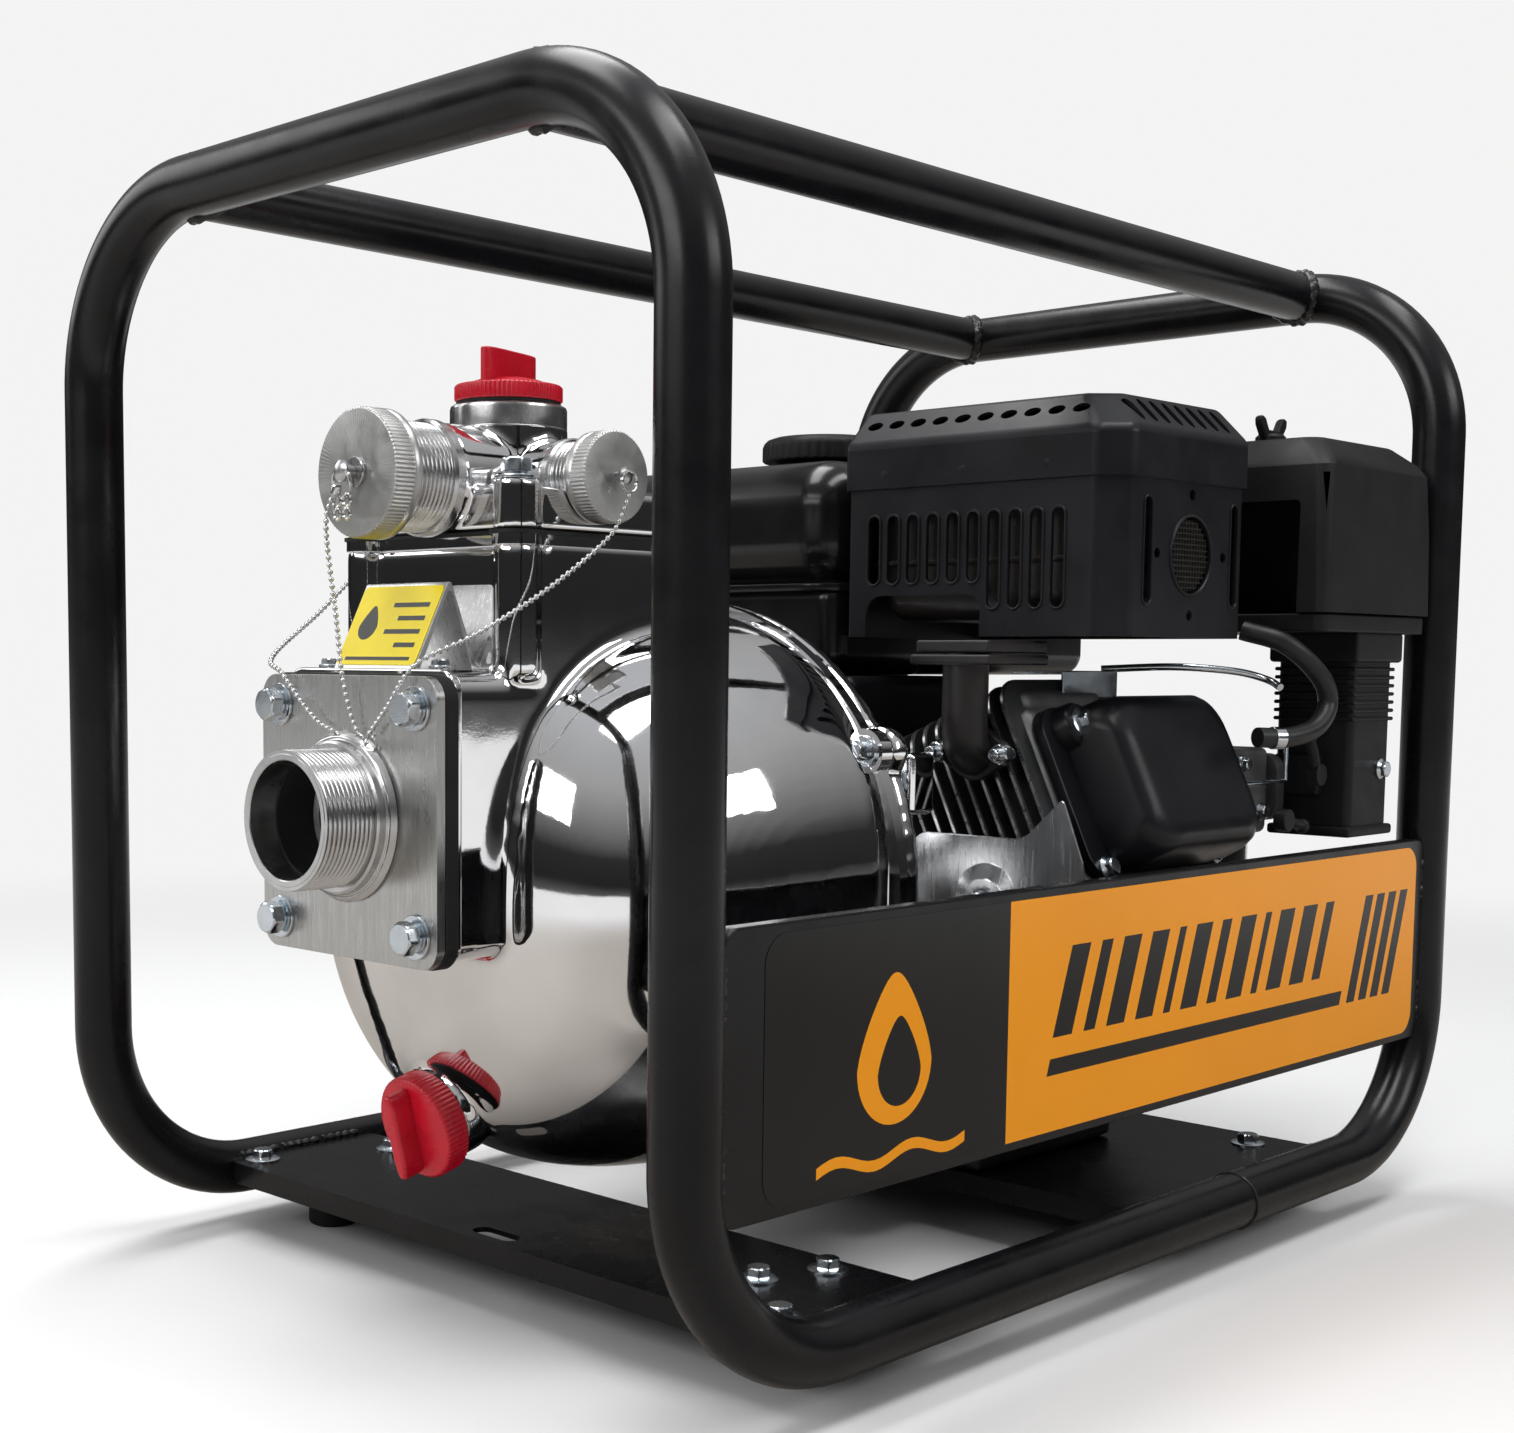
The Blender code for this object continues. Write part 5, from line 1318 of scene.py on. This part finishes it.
def shroud():
    """The bare sheet guard: one wall before the fins, one below them, with a dished boss."""
    outline = rounded_outline([(92, -56), (178, -56), (186, -24), (188, 8), (160, -2), (104, 24),
                               (88, 14)], [8, 8, 4, 2, 14, 10, 6], 6)
    wall = banked(lofted([[Vector((x, a, c)) for a, c in outline] for x in (-13.4, -12.2)]))
    boss = banked(turned([(0, 0), (0, 19), (0.6, 18.4), (2.4, 12), (3.4, 11), (3.4, 0)],
                         (-13.2, 128, -22), AHEAD, 48))
    under = banked(lofted([[Vector((x, a, c)) for x, a in rectangle(-12.6, 100.4, 117.6, 177, 3)]
                           for c in (-53.4, -52.0)]))
    piece("shroud_sheet", gathered(join(edged(wall, 0.4, 1, 30), boss), under), "sheet_alloy",
          replaces=("cylinder_shroud",))
    spot = bank_point(128, -22, -16.6)
    fixings("shroud_bolt", [bolt(spot, AHEAD, 10, 5, 7.6, False, 0.2, True)])


def spark_plug():
    path = smooth_path([bank_point(176, 40, 121), bank_point(166, 50, 123),
                        bank_point(152, 61, 126), bank_point(140, 67, 133),
                        bank_point(134, 69, 139)], 8)
    boot = tube(path, 8.6, 32, radius_at=lambda k, a: 8.6 - 1.1 * (k % 4 == 0) - (k > 22) * 2.4)
    cap = cut(boot, bank_box((95, 180), (-50.4, 54.4), (-20, 118.4)))
    piece("plug_boot", cap, "rubber_black", replaces=("spark_plug",), sharp=45)
    lead = tube(smooth_path([bank_point(134, 69, 139), (140, -92, 240), (146, -70, 246),
                             (156, -52, 240), (166, -46, 226)], 10), 3.4, 20)
    piece("plug_lead", lead, "rubber_black")


def recoil():
    shell = turned([(0.2, 0), (0.2, 93), (1.4, 93.8), (50, 93.8), (53, 92), (60, 88), (68, 81),
                    (80, 70), (84.4, 67), (84.8, 60), (84.8, 0)], (160, 0, AXIS_Z), BACK, 96)
    hood = prism(rounded_outline([(-83.8, AXIS_Z), (83.8, AXIS_Z), (83.8, 231.8), (-83.8, 231.8)],
                                 [0, 0, 26, 26], 8), "x", 160.2, 211.8)
    body = join(shell, hood)
    for ring, count in ((74.0, 20), (52.0, 14)):
        for a in angles(count):
            spot = Vector((225, ring * math.cos(a), AXIS_Z + ring * math.sin(a)))
            body = cut(body, rod(spot, spot + Vector((30, 0, 0)), 5.0, 20))
    port = rod((228, 40, ROPE_Z), (228, 120, ROPE_Z), 6.2, 24)
    nose = ring_solid((228, 70, ROPE_Z), FAR, 6.2, 10, 13.8, 40, 0.8)
    body = cut(body, port)
    edged(body, 0.9, 2, 32)
    piece("starter_cover", body, "engine_black", replaces=("recoil_cover",))
    piece("rope_guide", nose, "plastic_black")
    grid = [ring_solid((243.2, 0, AXIS_Z), BACK, 28, 30.5, 1.6, 72, 0.4),
            ring_solid((243.2, 0, AXIS_Z), BACK, 62, 64.5, 1.6, 96, 0.4)]
    piece("starter_rings", gathered(*grid), "engine_black")
    fixings("starter_bolts", [bolt((212.0, 88 * math.cos(a), AXIS_Z + 88 * math.sin(a)), BACK, 8,
                                   3.5, 6.2, False, 0.3, True)
                              for a in map(math.radians, (45, 165, 285))])
    grip = turned([(0.2, 0), (0.2, 6.4), (1.2, 7.2), (4, 9.6), (10, 9.2), (20, 9.0), (33, 9.6),
                   (33.8, 8.6), (34, 0)], (228, 96.0, ROPE_Z), FAR, 48)
    handle = tube(smooth_path([(194.6, 118, ROPE_Z - 1), (206, 118, ROPE_Z), (228, 118, ROPE_Z),
                               (247, 118, ROPE_Z), (257.4, 118, ROPE_Z - 1)], 8), 8.6, 36,
                  radius_at=lambda k, a: 8.6 - 0.7 * math.cos(a * 5) * 0.4)
    piece("pull_handle", gathered(grip, handle), "plastic_black", "starter_grip",
          replaces=("recoil_handle",), sharp=45)
    rope_path = [Vector((228, 56 + k, ROPE_Z)) for k in range(0, 40)]
    rope = tube(rope_path, 2.4, 16, radius_at=lambda k, a: 2.4 + 0.14 * math.sin(a * 3 + k * 1.3))
    piece("pull_rope", rope, "rope", None, replaces=("starter_rope",), sharp=60)
    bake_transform(rope)
    paint_kept(recoil_pulley="plastic_black", engine_switch="red_plastic")


def fuel_tank():
    seam = 309.0
    upper = box((2.3, -15.7, seam - 2), (249.7, 175.7, 376.7), 26, 8)
    lower = box((4.3, -13.7, 262.4), (247.7, 173.7, seam + 4), 12, 6)
    body = join(upper, lower)
    boss = turned([(0, 0), (0, 40), (4, 31), (8.6, 29), (14.6, 28), (14.6, 0)], (*TANK_FILLER, 369),
                  UP, 64)
    body = join(body, boss)
    edged(body, 0.8, 2, 35)
    piece("tank_shell", body, "tank_black", replaces=("fuel_tank",), sharp=35)
    lip = prism(rectangle(-0.6, -18.6, 252.6, 178.6, 26, 10), "z", seam - 2.6, seam + 1.6)
    piece("tank_seam", edged(lip, 0.9, 2, 30), "tank_black")
    legs = [box((30, 40, 198.4), (60, 76, 264), 1.2), box((110, 40, 198.4), (140, 76, 264), 1.2)]
    piece("tank_legs", gathered(*legs), "engine_black")
    lid = knurled([(-13.6, 0), (-13.6, 19), (0.1, 19), (0.1, 35), (0.9, 35.9), (8.4, 35.9),
                   (10.6, 35.0), (12.6, 33.0), (13.9, 29), (13.9, 0)], (*TANK_FILLER, 384.4), UP,
                  40, 0.8, (0.9, 8.6))
    piece("tank_cap_lid", lid, "plastic_black", "tank_cap",
          replaces=("fuel_cap",), sharp=40)


def guard_plan(offset=0.0):
    return [(0 + offset, -185 + 13 + offset), (13 + offset, -185 + offset),
            (120 - offset, -185 + offset), (120 - offset, -22 - offset), (offset, -22 - offset)]


def guard_skin(plan, base, shoulder, top, inset):
    """The guard's outer form: an upright plan with its outer top edges drawn in."""
    x_low = min(x for x, _ in plan)
    y_low = min(y for _, y in plan)
    drawn = [(x + inset if x < x_low + 20 else x, y + inset if y < y_low + 20 else y)
             for x, y in plan]
    return lofted([[Vector((x, y, base)) for x, y in plan],
                   [Vector((x, y, shoulder)) for x, y in plan],
                   [Vector((x, y, top)) for x, y in drawn]])


def round_slot(axis, x0, z0, x1, z1, low, high):
    return prism(slot_outline(x0, z0, x1, z1, 6), axis, low, high)


def lid_vent(middle, out, across, along, wide, tall, power=1):
    """A cutter for one oval vent in a slope of the guard's lid."""
    middle, out, across, along = Vector(middle), Vector(out), Vector(across), Vector(along)
    return lofted([[middle + out * depth + across * (wide * math.cos(a))
                    + along * (tall * math.copysign(abs(math.sin(a)) ** power, math.sin(a)))
                    for a in angles(20)] for depth in (9, -9)])


def muffler_guard():
    """The heat guard: perforated sheet with an overlapping lid."""
    outer = edged(guard_skin(guard_plan(1.9), 262, 379, 396.4, 18), 2.4, 3, 24)
    inner = edged(guard_skin(guard_plan(3.3), 250, 378.2, 394.8, 17.6), 1.4, 3, 24)
    shell = cut(outer, inner, box((-20, -200, 240), (140, 0, 282.3)))
    side_slots = [(-41 - 12.2 * k, 309 if k < 6 else 296) for k in range(10)]
    cuts = []
    for y, foot_z in side_slots:
        cuts.append(round_slot("x", y - 3.4, foot_z, y + 3.4, 343, -6, 6))
    for x in (28, 109):
        cuts.append(round_slot("y", x - 3.2, 298, x + 3.2, 348, -190, -178))
    cuts.append(rod((OUT_X, -190, OUT_Z), (OUT_X, -178, OUT_Z), 18.6, 64))
    for x, z in ((37, OUT_Z), (99, OUT_Z), (OUT_X, 293), (OUT_X, 351)):
        cuts.append(rod((x, -190, z), (x, -178, z), 2.6, 20))
    arch = prism(rounded_outline([(-107, 270), (-36, 270), (-36, 303), (-107, 303)],
                                 [0, 0, 10, 8], 8), "x", -6, 6)
    cuts.append(arch)
    slope = Vector((18, 0, 17.6)).normalized()
    vents = [lid_vent((10.6, -34 - 13.6 * k, 389.4), (-slope.z, 0, slope.x), FAR, slope, 4.6, 3.2)
             for k in range(10)]
    vents += [lid_vent((26 + 11.4 * k, -174.6, 389.0), (0, -slope.z, slope.x), BACK,
                       (0, slope.x, slope.z), 2.9, 8.2, 0.6) for k in range(8)]
    lid = cut(edged(guard_skin(guard_plan(0.1), 330, 379.7, 397.8, 18), 3.2, 4, 24),
              edged(guard_skin(guard_plan(1.7), 320, 379.0, 396.5, 18), 2.0, 4, 24),
              box((-20, -200, 300), (140, 0, 357)))
    shell = cut(shell, *cuts, box((-20, -200, 366), (140, 0, 420)))
    lid = cut(lid, *vents)
    edged(shell, 0.45, 2, 32)
    piece("guard_shell", shell, "engine_black", replaces=("muffler_guard",))
    piece("guard_lid", lid, "engine_black", sharp=40)
    rims = []
    for y, foot_z in side_slots:
        outline = slot_outline(y - 4.0, foot_z - 0.6, y + 4.0, 343.6, 6)
        rims.append(tube([(1.8, a, b) for a, b in outline], 0.75, 8, True))
    for x in (28, 109):
        outline = slot_outline(x - 3.8, 297.4, x + 3.8, 348.6, 6)
        rims.append(tube([(a, -183.2, b) for a, b in outline], 0.6, 8, True))
    rims.append(wire_ring(60, 0.9, lambda a: (OUT_X + 19.2 * math.cos(a), -183.2,
                                              OUT_Z + 19.2 * math.sin(a))))
    for y in (-48, -96, -144):
        rims.append(turned([(0, 0), (0, 2.2), (0.12, 2.2), (0.3, 1.2), (0.3, 0)],
                           (0.2, y, 364), AHEAD, 20))
    piece("guard_rims", gathered(*rims), "engine_black")


def exhaust():
    can = box((10.4, -170.6, 290.4), (109.6, -34.4, 371.6), 15, 6)
    for z in (318, 344):
        can = join(can, box((9.6, -171.4, z), (110.4, -33.6, z + 3), 1))
    outlet = rod((OUT_X, -165, OUT_Z), (OUT_X, -179, OUT_Z), 13.8, 40)
    can = join(can, outlet)
    piece("muffler_can", edged(can, 0.8, 2, 35), "heat_steel",
          replaces=("muffler",), sharp=40)
    net = ring_solid((OUT_X, -180.8, OUT_Z), FAR, 0.8, 17.6, 1.2, 48, 0.3)
    wires = [net]
    for k in range(-6, 7):
        offset = k * 2.6
        half = math.sqrt(17.2 ** 2 - offset ** 2)
        wires.append(rod((OUT_X + offset, -181.6, OUT_Z - half),
                         (OUT_X + offset, -181.6, OUT_Z + half), 0.45, 8))
        wires.append(rod((OUT_X - half, -181.9, OUT_Z + offset),
                         (OUT_X + half, -181.9, OUT_Z + offset), 0.45, 8))
    piece("spark_gauze", gathered(*wires), "gauze")
    diamond = rounded_outline([(-143.6, 226), (-118, 210.4), (-92.4, 226), (-118, 241.6)],
                              [7, 12, 7, 12], 6)
    flange = edged(prism(diamond, "x", -17.0, -11.2), 0.9, 2, 30)
    pipe = tube(smooth_path([(-12, -118, 226), (-17, -118, 226.4), (-22.4, -118, 231),
                             (-24, -118, 240), (-24, -118, 256), (-24, -118, 277)], 8), 11.0, 36)
    top = [box((-38, -141, 268.4), (12, -95, 273.2), 1.2), box((-36, -139, 274), (14, -97, 280), 1.2)]
    piece("exhaust_bend", gathered(flange, pipe, *top), "heat_steel",
          replaces=("exhaust_pipe",), sharp=40)
    nuts = []
    for y in (-136.5, -99.5):
        nuts.append(bar((-11.5, y, 226), (-27, y, 226), 2.9))
        nuts.append(hex_head((-17.2, y, 226), AHEAD, 9.4, 5.4, 0.4))
    fixings("flange_nuts", nuts)


def air_cleaner():
    x0, x1, y0, y1 = 150.3, 274.7, -212.7, -106.3
    z0, z1 = 296.3, 386.8
    rings = []
    for z, inset, r in ((z0, 0.0, 6), (340, 0.6, 7), (371, 2.0, 8), (377, 5.5, 9), (z1 - 1.2, 15.4, 10),
                        (z1 - 0.4, 17, 9)):
        rings.append([Vector((x, y, z)) for x, y in
                      rectangle(x0 + inset, y0 + inset, x1 - inset, y1 - inset, r, 6)])
    cover = lofted(rings)
    room = box((x0 + 3, y0 + 3, z0 - 5), (x1 - 3, y1 - 3, z1 - 20))
    notch = box((x0 - 5, y0 + 16, z0 - 5), (x0 + 14, y0 + 72, z0 + 57), 3)
    cover = cut(cover, room, notch, rod((*CLEANER_STUD, 340), (*CLEANER_STUD, 400), 4.4, 24))
    edged(cover, 1.1, 3, 28)
    piece("cleaner_cover", cover, "plastic_black", "cleaner_cover",
          replaces=("air_cleaner_cover",), sharp=32)
    nut = turned([(0.3, 0), (0.3, 7.2), (1.0, 8), (5.4, 8), (7.0, 6.4), (7.0, 0)],
                 (*CLEANER_STUD, 387), UP, 40)
    wing = prism([(-8, 0), (8, 0), (14, 8), (14.6, 12), (12, 13.4), (9, 12), (5, 6), (-5, 6),
                  (-9, 12), (-12, 13.4), (-14.6, 12), (-14, 8)], "y", -2.2, 2.2)
    edged(wing, 1.2, 3, 30)
    moved(wing, Matrix.Translation((*CLEANER_STUD, 390.2)))
    piece("wing_nut", gathered(nut, wing), "plastic_black", "cleaner_nut",
          replaces=("air_cleaner_nut",), sharp=40)
    tray = prism(rectangle(x0 + 2, y0 + 2, x1 - 2, y1 - 2, 6, 6), "z", 286.4, 295.8)
    elements = box((192, -200.6, 294), (262.6, -114.4, 360), 6, 4)
    stud = rod((*CLEANER_STUD, 290), (*CLEANER_STUD, 383), 3, 24)
    duct = join(box((199.4, -205.6, 181), (244.6, -162.4, 287), 4, 3),
                box((194.4, -209.6, 271), (248.6, -159.4, 287), 2, 2),
                box((196.4, -207.6, 178.6), (247.6, -160.4, 184), 1.5, 2))
    for k in range(7):
        z = 240 + 4.4 * k
        duct = join(duct, box((198.2, -206.8, z), (245.8, -161.2, z + 2.0), 0.8, 2))
    duct = join(duct, box((194.4, -190, 200), (201, -164, 222), 2, 2))
    edged(duct, 0.5, 2, 32)
    joined = gathered(edged(tray, 1.2, 3, 30), elements, stud, duct)
    piece("cleaner_base", joined, "plastic_black",
          replaces=("air_cleaner_base",), sharp=40)
    screw = bolt((234, -205.7, 214), NEAR, 8, 3.2, 5.6, False, 0.2, True)
    fixings("duct_screw", [screw])


def carburettor():
    y = -148.0
    z = 204.0
    throat = turned([(0, 0), (0, 15), (1, 16.6), (24, 16.6), (27, 15.4), (48, 15.4), (51, 16.8),
                     (74.4, 16.8), (74.8, 15), (74.8, 0)], (118.6, y, z), BACK, 56)
    flange = prism(rectangle(y - 26, z - 19.6, y + 26, z + 19.6, 9, 6), "x", 119.2, 125.8)
    flange2 = prism(rectangle(y - 24, z - 18, y + 24, z + 18, 9, 6), "x", 184, 192.6)
    body = box((140.2, y - 21.8, z - 23.8), (179.8, y + 21.8, z + 21.8), 4, 3)
    boss = rod((160, y - 21.6, z + 6), (160, y + 10, z + 6), 7, 32)
    solid = join(throat, flange, flange2, body, boss)
    edged(solid, 0.9, 2, 32)
    piece("carb_body", solid, "cast_grey", replaces=("carburettor",))
    bowl = turned([(0, 0), (0, 5), (1, 6), (2.4, 6), (2.4, 13), (5, 17.6), (8, 18.8), (28, 18.9),
                   (29, 19), (31.6, 19), (31.8, 0)], (160, y, 148.4), UP, 64)
    piece("float_bowl", bowl, "turned")
    bits = [bolt((170, y - 21.8, z - 12), NEAR, 7, 3, 4.6, False, 0.1, False),
            bolt((150, y - 21.8, z + 14), NEAR, 6, 3, 4.4, False, 0.5, False),
            rod((128, y - 30, z + 4), (182, y - 30, z + 4), 1.2, 12),
            rod((182, y - 30, z + 4), (182, y - 30, z + 26), 1.2, 12)]
    fixings("carb_screws", bits)
    fixings("carb_nuts", [bar((192.8, y, z + dz), (197.6, y, z + dz), 3.0) for dz in (-13.5, 13.5)])


def lever_piece(name, piece_name, pivot, axis, reach, length, body, material):
    """A pressed lever with a boss, a bent arm and a knob."""
    pivot, axis = Vector(pivot), Vector(axis).normalized()
    reach = Vector(reach).normalized()
    boss = bar(pivot + axis * 0.3, pivot + axis * 6.7, 5.8)
    mid = pivot + axis * 3.5
    path = smooth_path([mid + reach * 3, mid + reach * (length * 0.5) + axis * 0.6,
                        mid + reach * (length - 3.4)], 8)
    arm = tube(path, 2.8, 20, radius_at=lambda k, a: 2.3 + 0.5 * abs(math.sin(a)))
    knob = ball(mid + reach * (length - 4.0), 3.9, 10, 20)
    piece(piece_name, gathered(boss, arm, knob), material, body, replaces=(name,), sharp=45)


def controls():
    lever_piece("choke_lever", "choke_arm", (184, -191, 212), NEAR, (-0.5, 0, 1), 26,
                "choke", "plastic_black")
    lever_piece("fuel_valve_lever", "fuel_arm", (146, -193, 190), NEAR, (1, 0, -0.2), 24,
                "fuel_valve", "plastic_black")
    lever_piece("throttle_lever", "throttle_arm", (138, -60, 236), UP, (0.5, -1, 0), 44,
                "throttle", "zinc")
    hose_path = smooth_path([(134, -176, 287), (142, -196, 280), (160, -206, 264),
                             (168, -207, 250), (156, -207, 238), (136, -203, 233),
                             (117.9, -195, 233)], 12)
    piece("breather_tube", tube(hose_path, 5.1, 28), "hose_black",
          replaces=("breather_hose",), sharp=45)
    clamp_at, clamp_way = hose_path[-8], (hose_path[-7] - hose_path[-9])
    clamp = ring_solid(clamp_at - clamp_way.normalized() * 3, clamp_way, 5.1, 5.7, 6.0, 32, 0.3)
    fixings("hose_clamp", [clamp])
    linkage = [rod((120, -60, 240.5), (140, -60, 240.5), 1.1, 12),
               bar((125, -70, 236.2), (125, -70, 243), 3.2),
               rod((126, -60, 241.6), (168, -150, 226), 1.0, 10)]
    coil = []
    for k in range(121):
        a = 2 * math.pi * 12 * k / 120
        along = Vector((128, -62, 242)).lerp(Vector((163, -136, 230)), k / 120)
        coil.append(along + Vector((1.8 * math.cos(a), 0, 1.8 * math.sin(a))))
    linkage.append(tube(coil, 0.35, 6))
    linkage.append(box((44, -128, 264), (94, -98, 265.6), 0.5))
    linkage.append(box((44, -128.6, 252), (94, -127, 265.6), 0.5))
    linkage.append(tube(smooth_path([(92, -120, 266.6), (112, -150, 268), (134, -172, 266),
                                     (142, -186, 262), (138, -196, 258)], 8), 1.9, 16))
    fixings("throttle_linkage", linkage)


# ---------------------------------------------------------------- stage

FLOOR_SEEN = (0.80, 0.80, 0.80, 1)
FLOOR_MIRRORED = (0.33, 0.30, 0.27, 1)


def floor_sheet():
    """A pale floor: darker and warmer where metal mirrors it, fading out to plain white."""
    shape = bmesh.new()
    bmesh.ops.create_grid(shape, x_segments=1, y_segments=1, size=6.0)
    mesh = bpy.data.meshes.new("floor")
    shape.to_mesh(mesh)
    shape.free()
    floor = bpy.data.objects.new("floor", mesh)
    bpy.context.scene.collection.objects.link(floor)
    material = bpy.data.materials.new("floor")
    material.use_nodes = True
    nodes, links = material.node_tree.nodes, material.node_tree.links
    shader = nodes["Principled BSDF"]
    shader.inputs["Base Color"].default_value = FLOOR_SEEN
    shader.inputs["Roughness"].default_value = 0.55
    seen_by = add_node(nodes, "LightPath")
    ground = add_node(nodes, "Mix", data_type="RGBA")
    ground.inputs["A"].default_value = FLOOR_SEEN
    ground.inputs["B"].default_value = FLOOR_MIRRORED
    links.new(seen_by.outputs["Is Glossy Ray"], ground.inputs["Factor"])
    links.new(ground.outputs["Result"], shader.inputs["Base Color"])
    where = add_node(nodes, "TexCoord")
    distance = add_node(nodes, "VectorMath", operation="LENGTH")
    links.new(where.outputs["Object"], distance.inputs[0])
    fade = add_node(nodes, "MapRange", {"From Min": 0.75, "From Max": 2.0},
                    interpolation_type="SMOOTHSTEP")
    links.new(distance.outputs["Value"], fade.inputs["Value"])
    glow = add_node(nodes, "Emission", {"Color": (0.90, 0.90, 0.90, 1)})
    mixed = add_node(nodes, "MixShader")
    links.new(fade.outputs["Result"], mixed.inputs["Fac"])
    links.new(shader.outputs["BSDF"], mixed.inputs[1])
    links.new(glow.outputs["Emission"], mixed.inputs[2])
    links.new(mixed.outputs["Shader"], nodes["Material Output"].inputs["Surface"])
    mesh.materials.append(material)


def card(name, size, location, rotation, power):
    """A rectangular area light, turned by degrees about X, Y and Z."""
    data = bpy.data.lights.new(name, "AREA")
    data.shape = "RECTANGLE"
    data.size, data.size_y = size
    data.energy = power
    item = bpy.data.objects.new(name, data)
    item.location = location
    item.rotation_euler = [math.radians(v) for v in rotation]
    bpy.context.scene.collection.objects.link(item)


def surroundings():
    """A dark room with a bright ceiling for reflections, and white behind for the camera."""
    world = bpy.data.worlds.new("world")
    bpy.context.scene.world = world
    world.use_nodes = True
    nodes, links = world.node_tree.nodes, world.node_tree.links
    background = nodes["Background"]
    where = add_node(nodes, "TexCoord")
    split = add_node(nodes, "SeparateXYZ")
    links.new(where.outputs["Generated"], split.inputs["Vector"])
    band = add_node(nodes, "ValToRGB")
    ends = band.color_ramp.elements
    ends[0].position, ends[0].color = 0.0, (0.20, 0.20, 0.20, 1)
    ends[1].position, ends[1].color = 1.0, (0.55, 0.56, 0.58, 1)
    for position, value in ((0.48, 0.12), (0.51, 0.02), (0.58, 0.03), (0.64, 0.16), (0.80, 0.42)):
        ends.new(position).color = (value, value, value, 1)
    remap = add_node(nodes, "MapRange", {"From Min": -1.0})
    links.new(split.outputs["Z"], remap.inputs["Value"])
    links.new(remap.outputs["Result"], band.inputs["Fac"])
    path = add_node(nodes, "LightPath")
    mix = add_node(nodes, "Mix", data_type="RGBA")
    links.new(path.outputs["Is Camera Ray"], mix.inputs["Factor"])
    links.new(band.outputs["Color"], mix.inputs["A"])
    mix.inputs["B"].default_value = (1.0, 1.0, 1.0, 1)
    links.new(mix.outputs["Result"], background.inputs["Color"])
    background.inputs["Strength"].default_value = 0.9


def stage():
    floor_sheet()
    card("sky_light", (2.0, 0.7), (-0.2, 0.7, 2.3), (-14, 0, 8), 34)
    card("sky_light_near", (2.0, 0.5), (-0.1, -0.7, 2.3), (14, 0, 8), 26)
    card("left_light", (0.7, 1.8), (-2.3, 0.3, 1.3), (0, -62, -8), 20)
    card("front_light", (1.7, 0.7), (0.7, -2.5, 1.6), (60, 0, 14), 17)
    card("far_light", (1.6, 1.2), (-1.2, 2.2, 1.4), (-62, 0, -20), 14)
    surroundings()


def main():
    for build in (camera, make_finishes, chains, cap_rings, carry_frame, side_panel, casing_body,
                  box_rim, suction_side, manifold, caps, prime_plug, drain_plug, sign_bracket,
                  adapter, pump_inside, crankcase, cylinder, valve_cover, shroud, spark_plug,
                  recoil, fuel_tank, muffler_guard, exhaust, air_cleaner, carburettor, controls,
                  stage):
        build()


main()
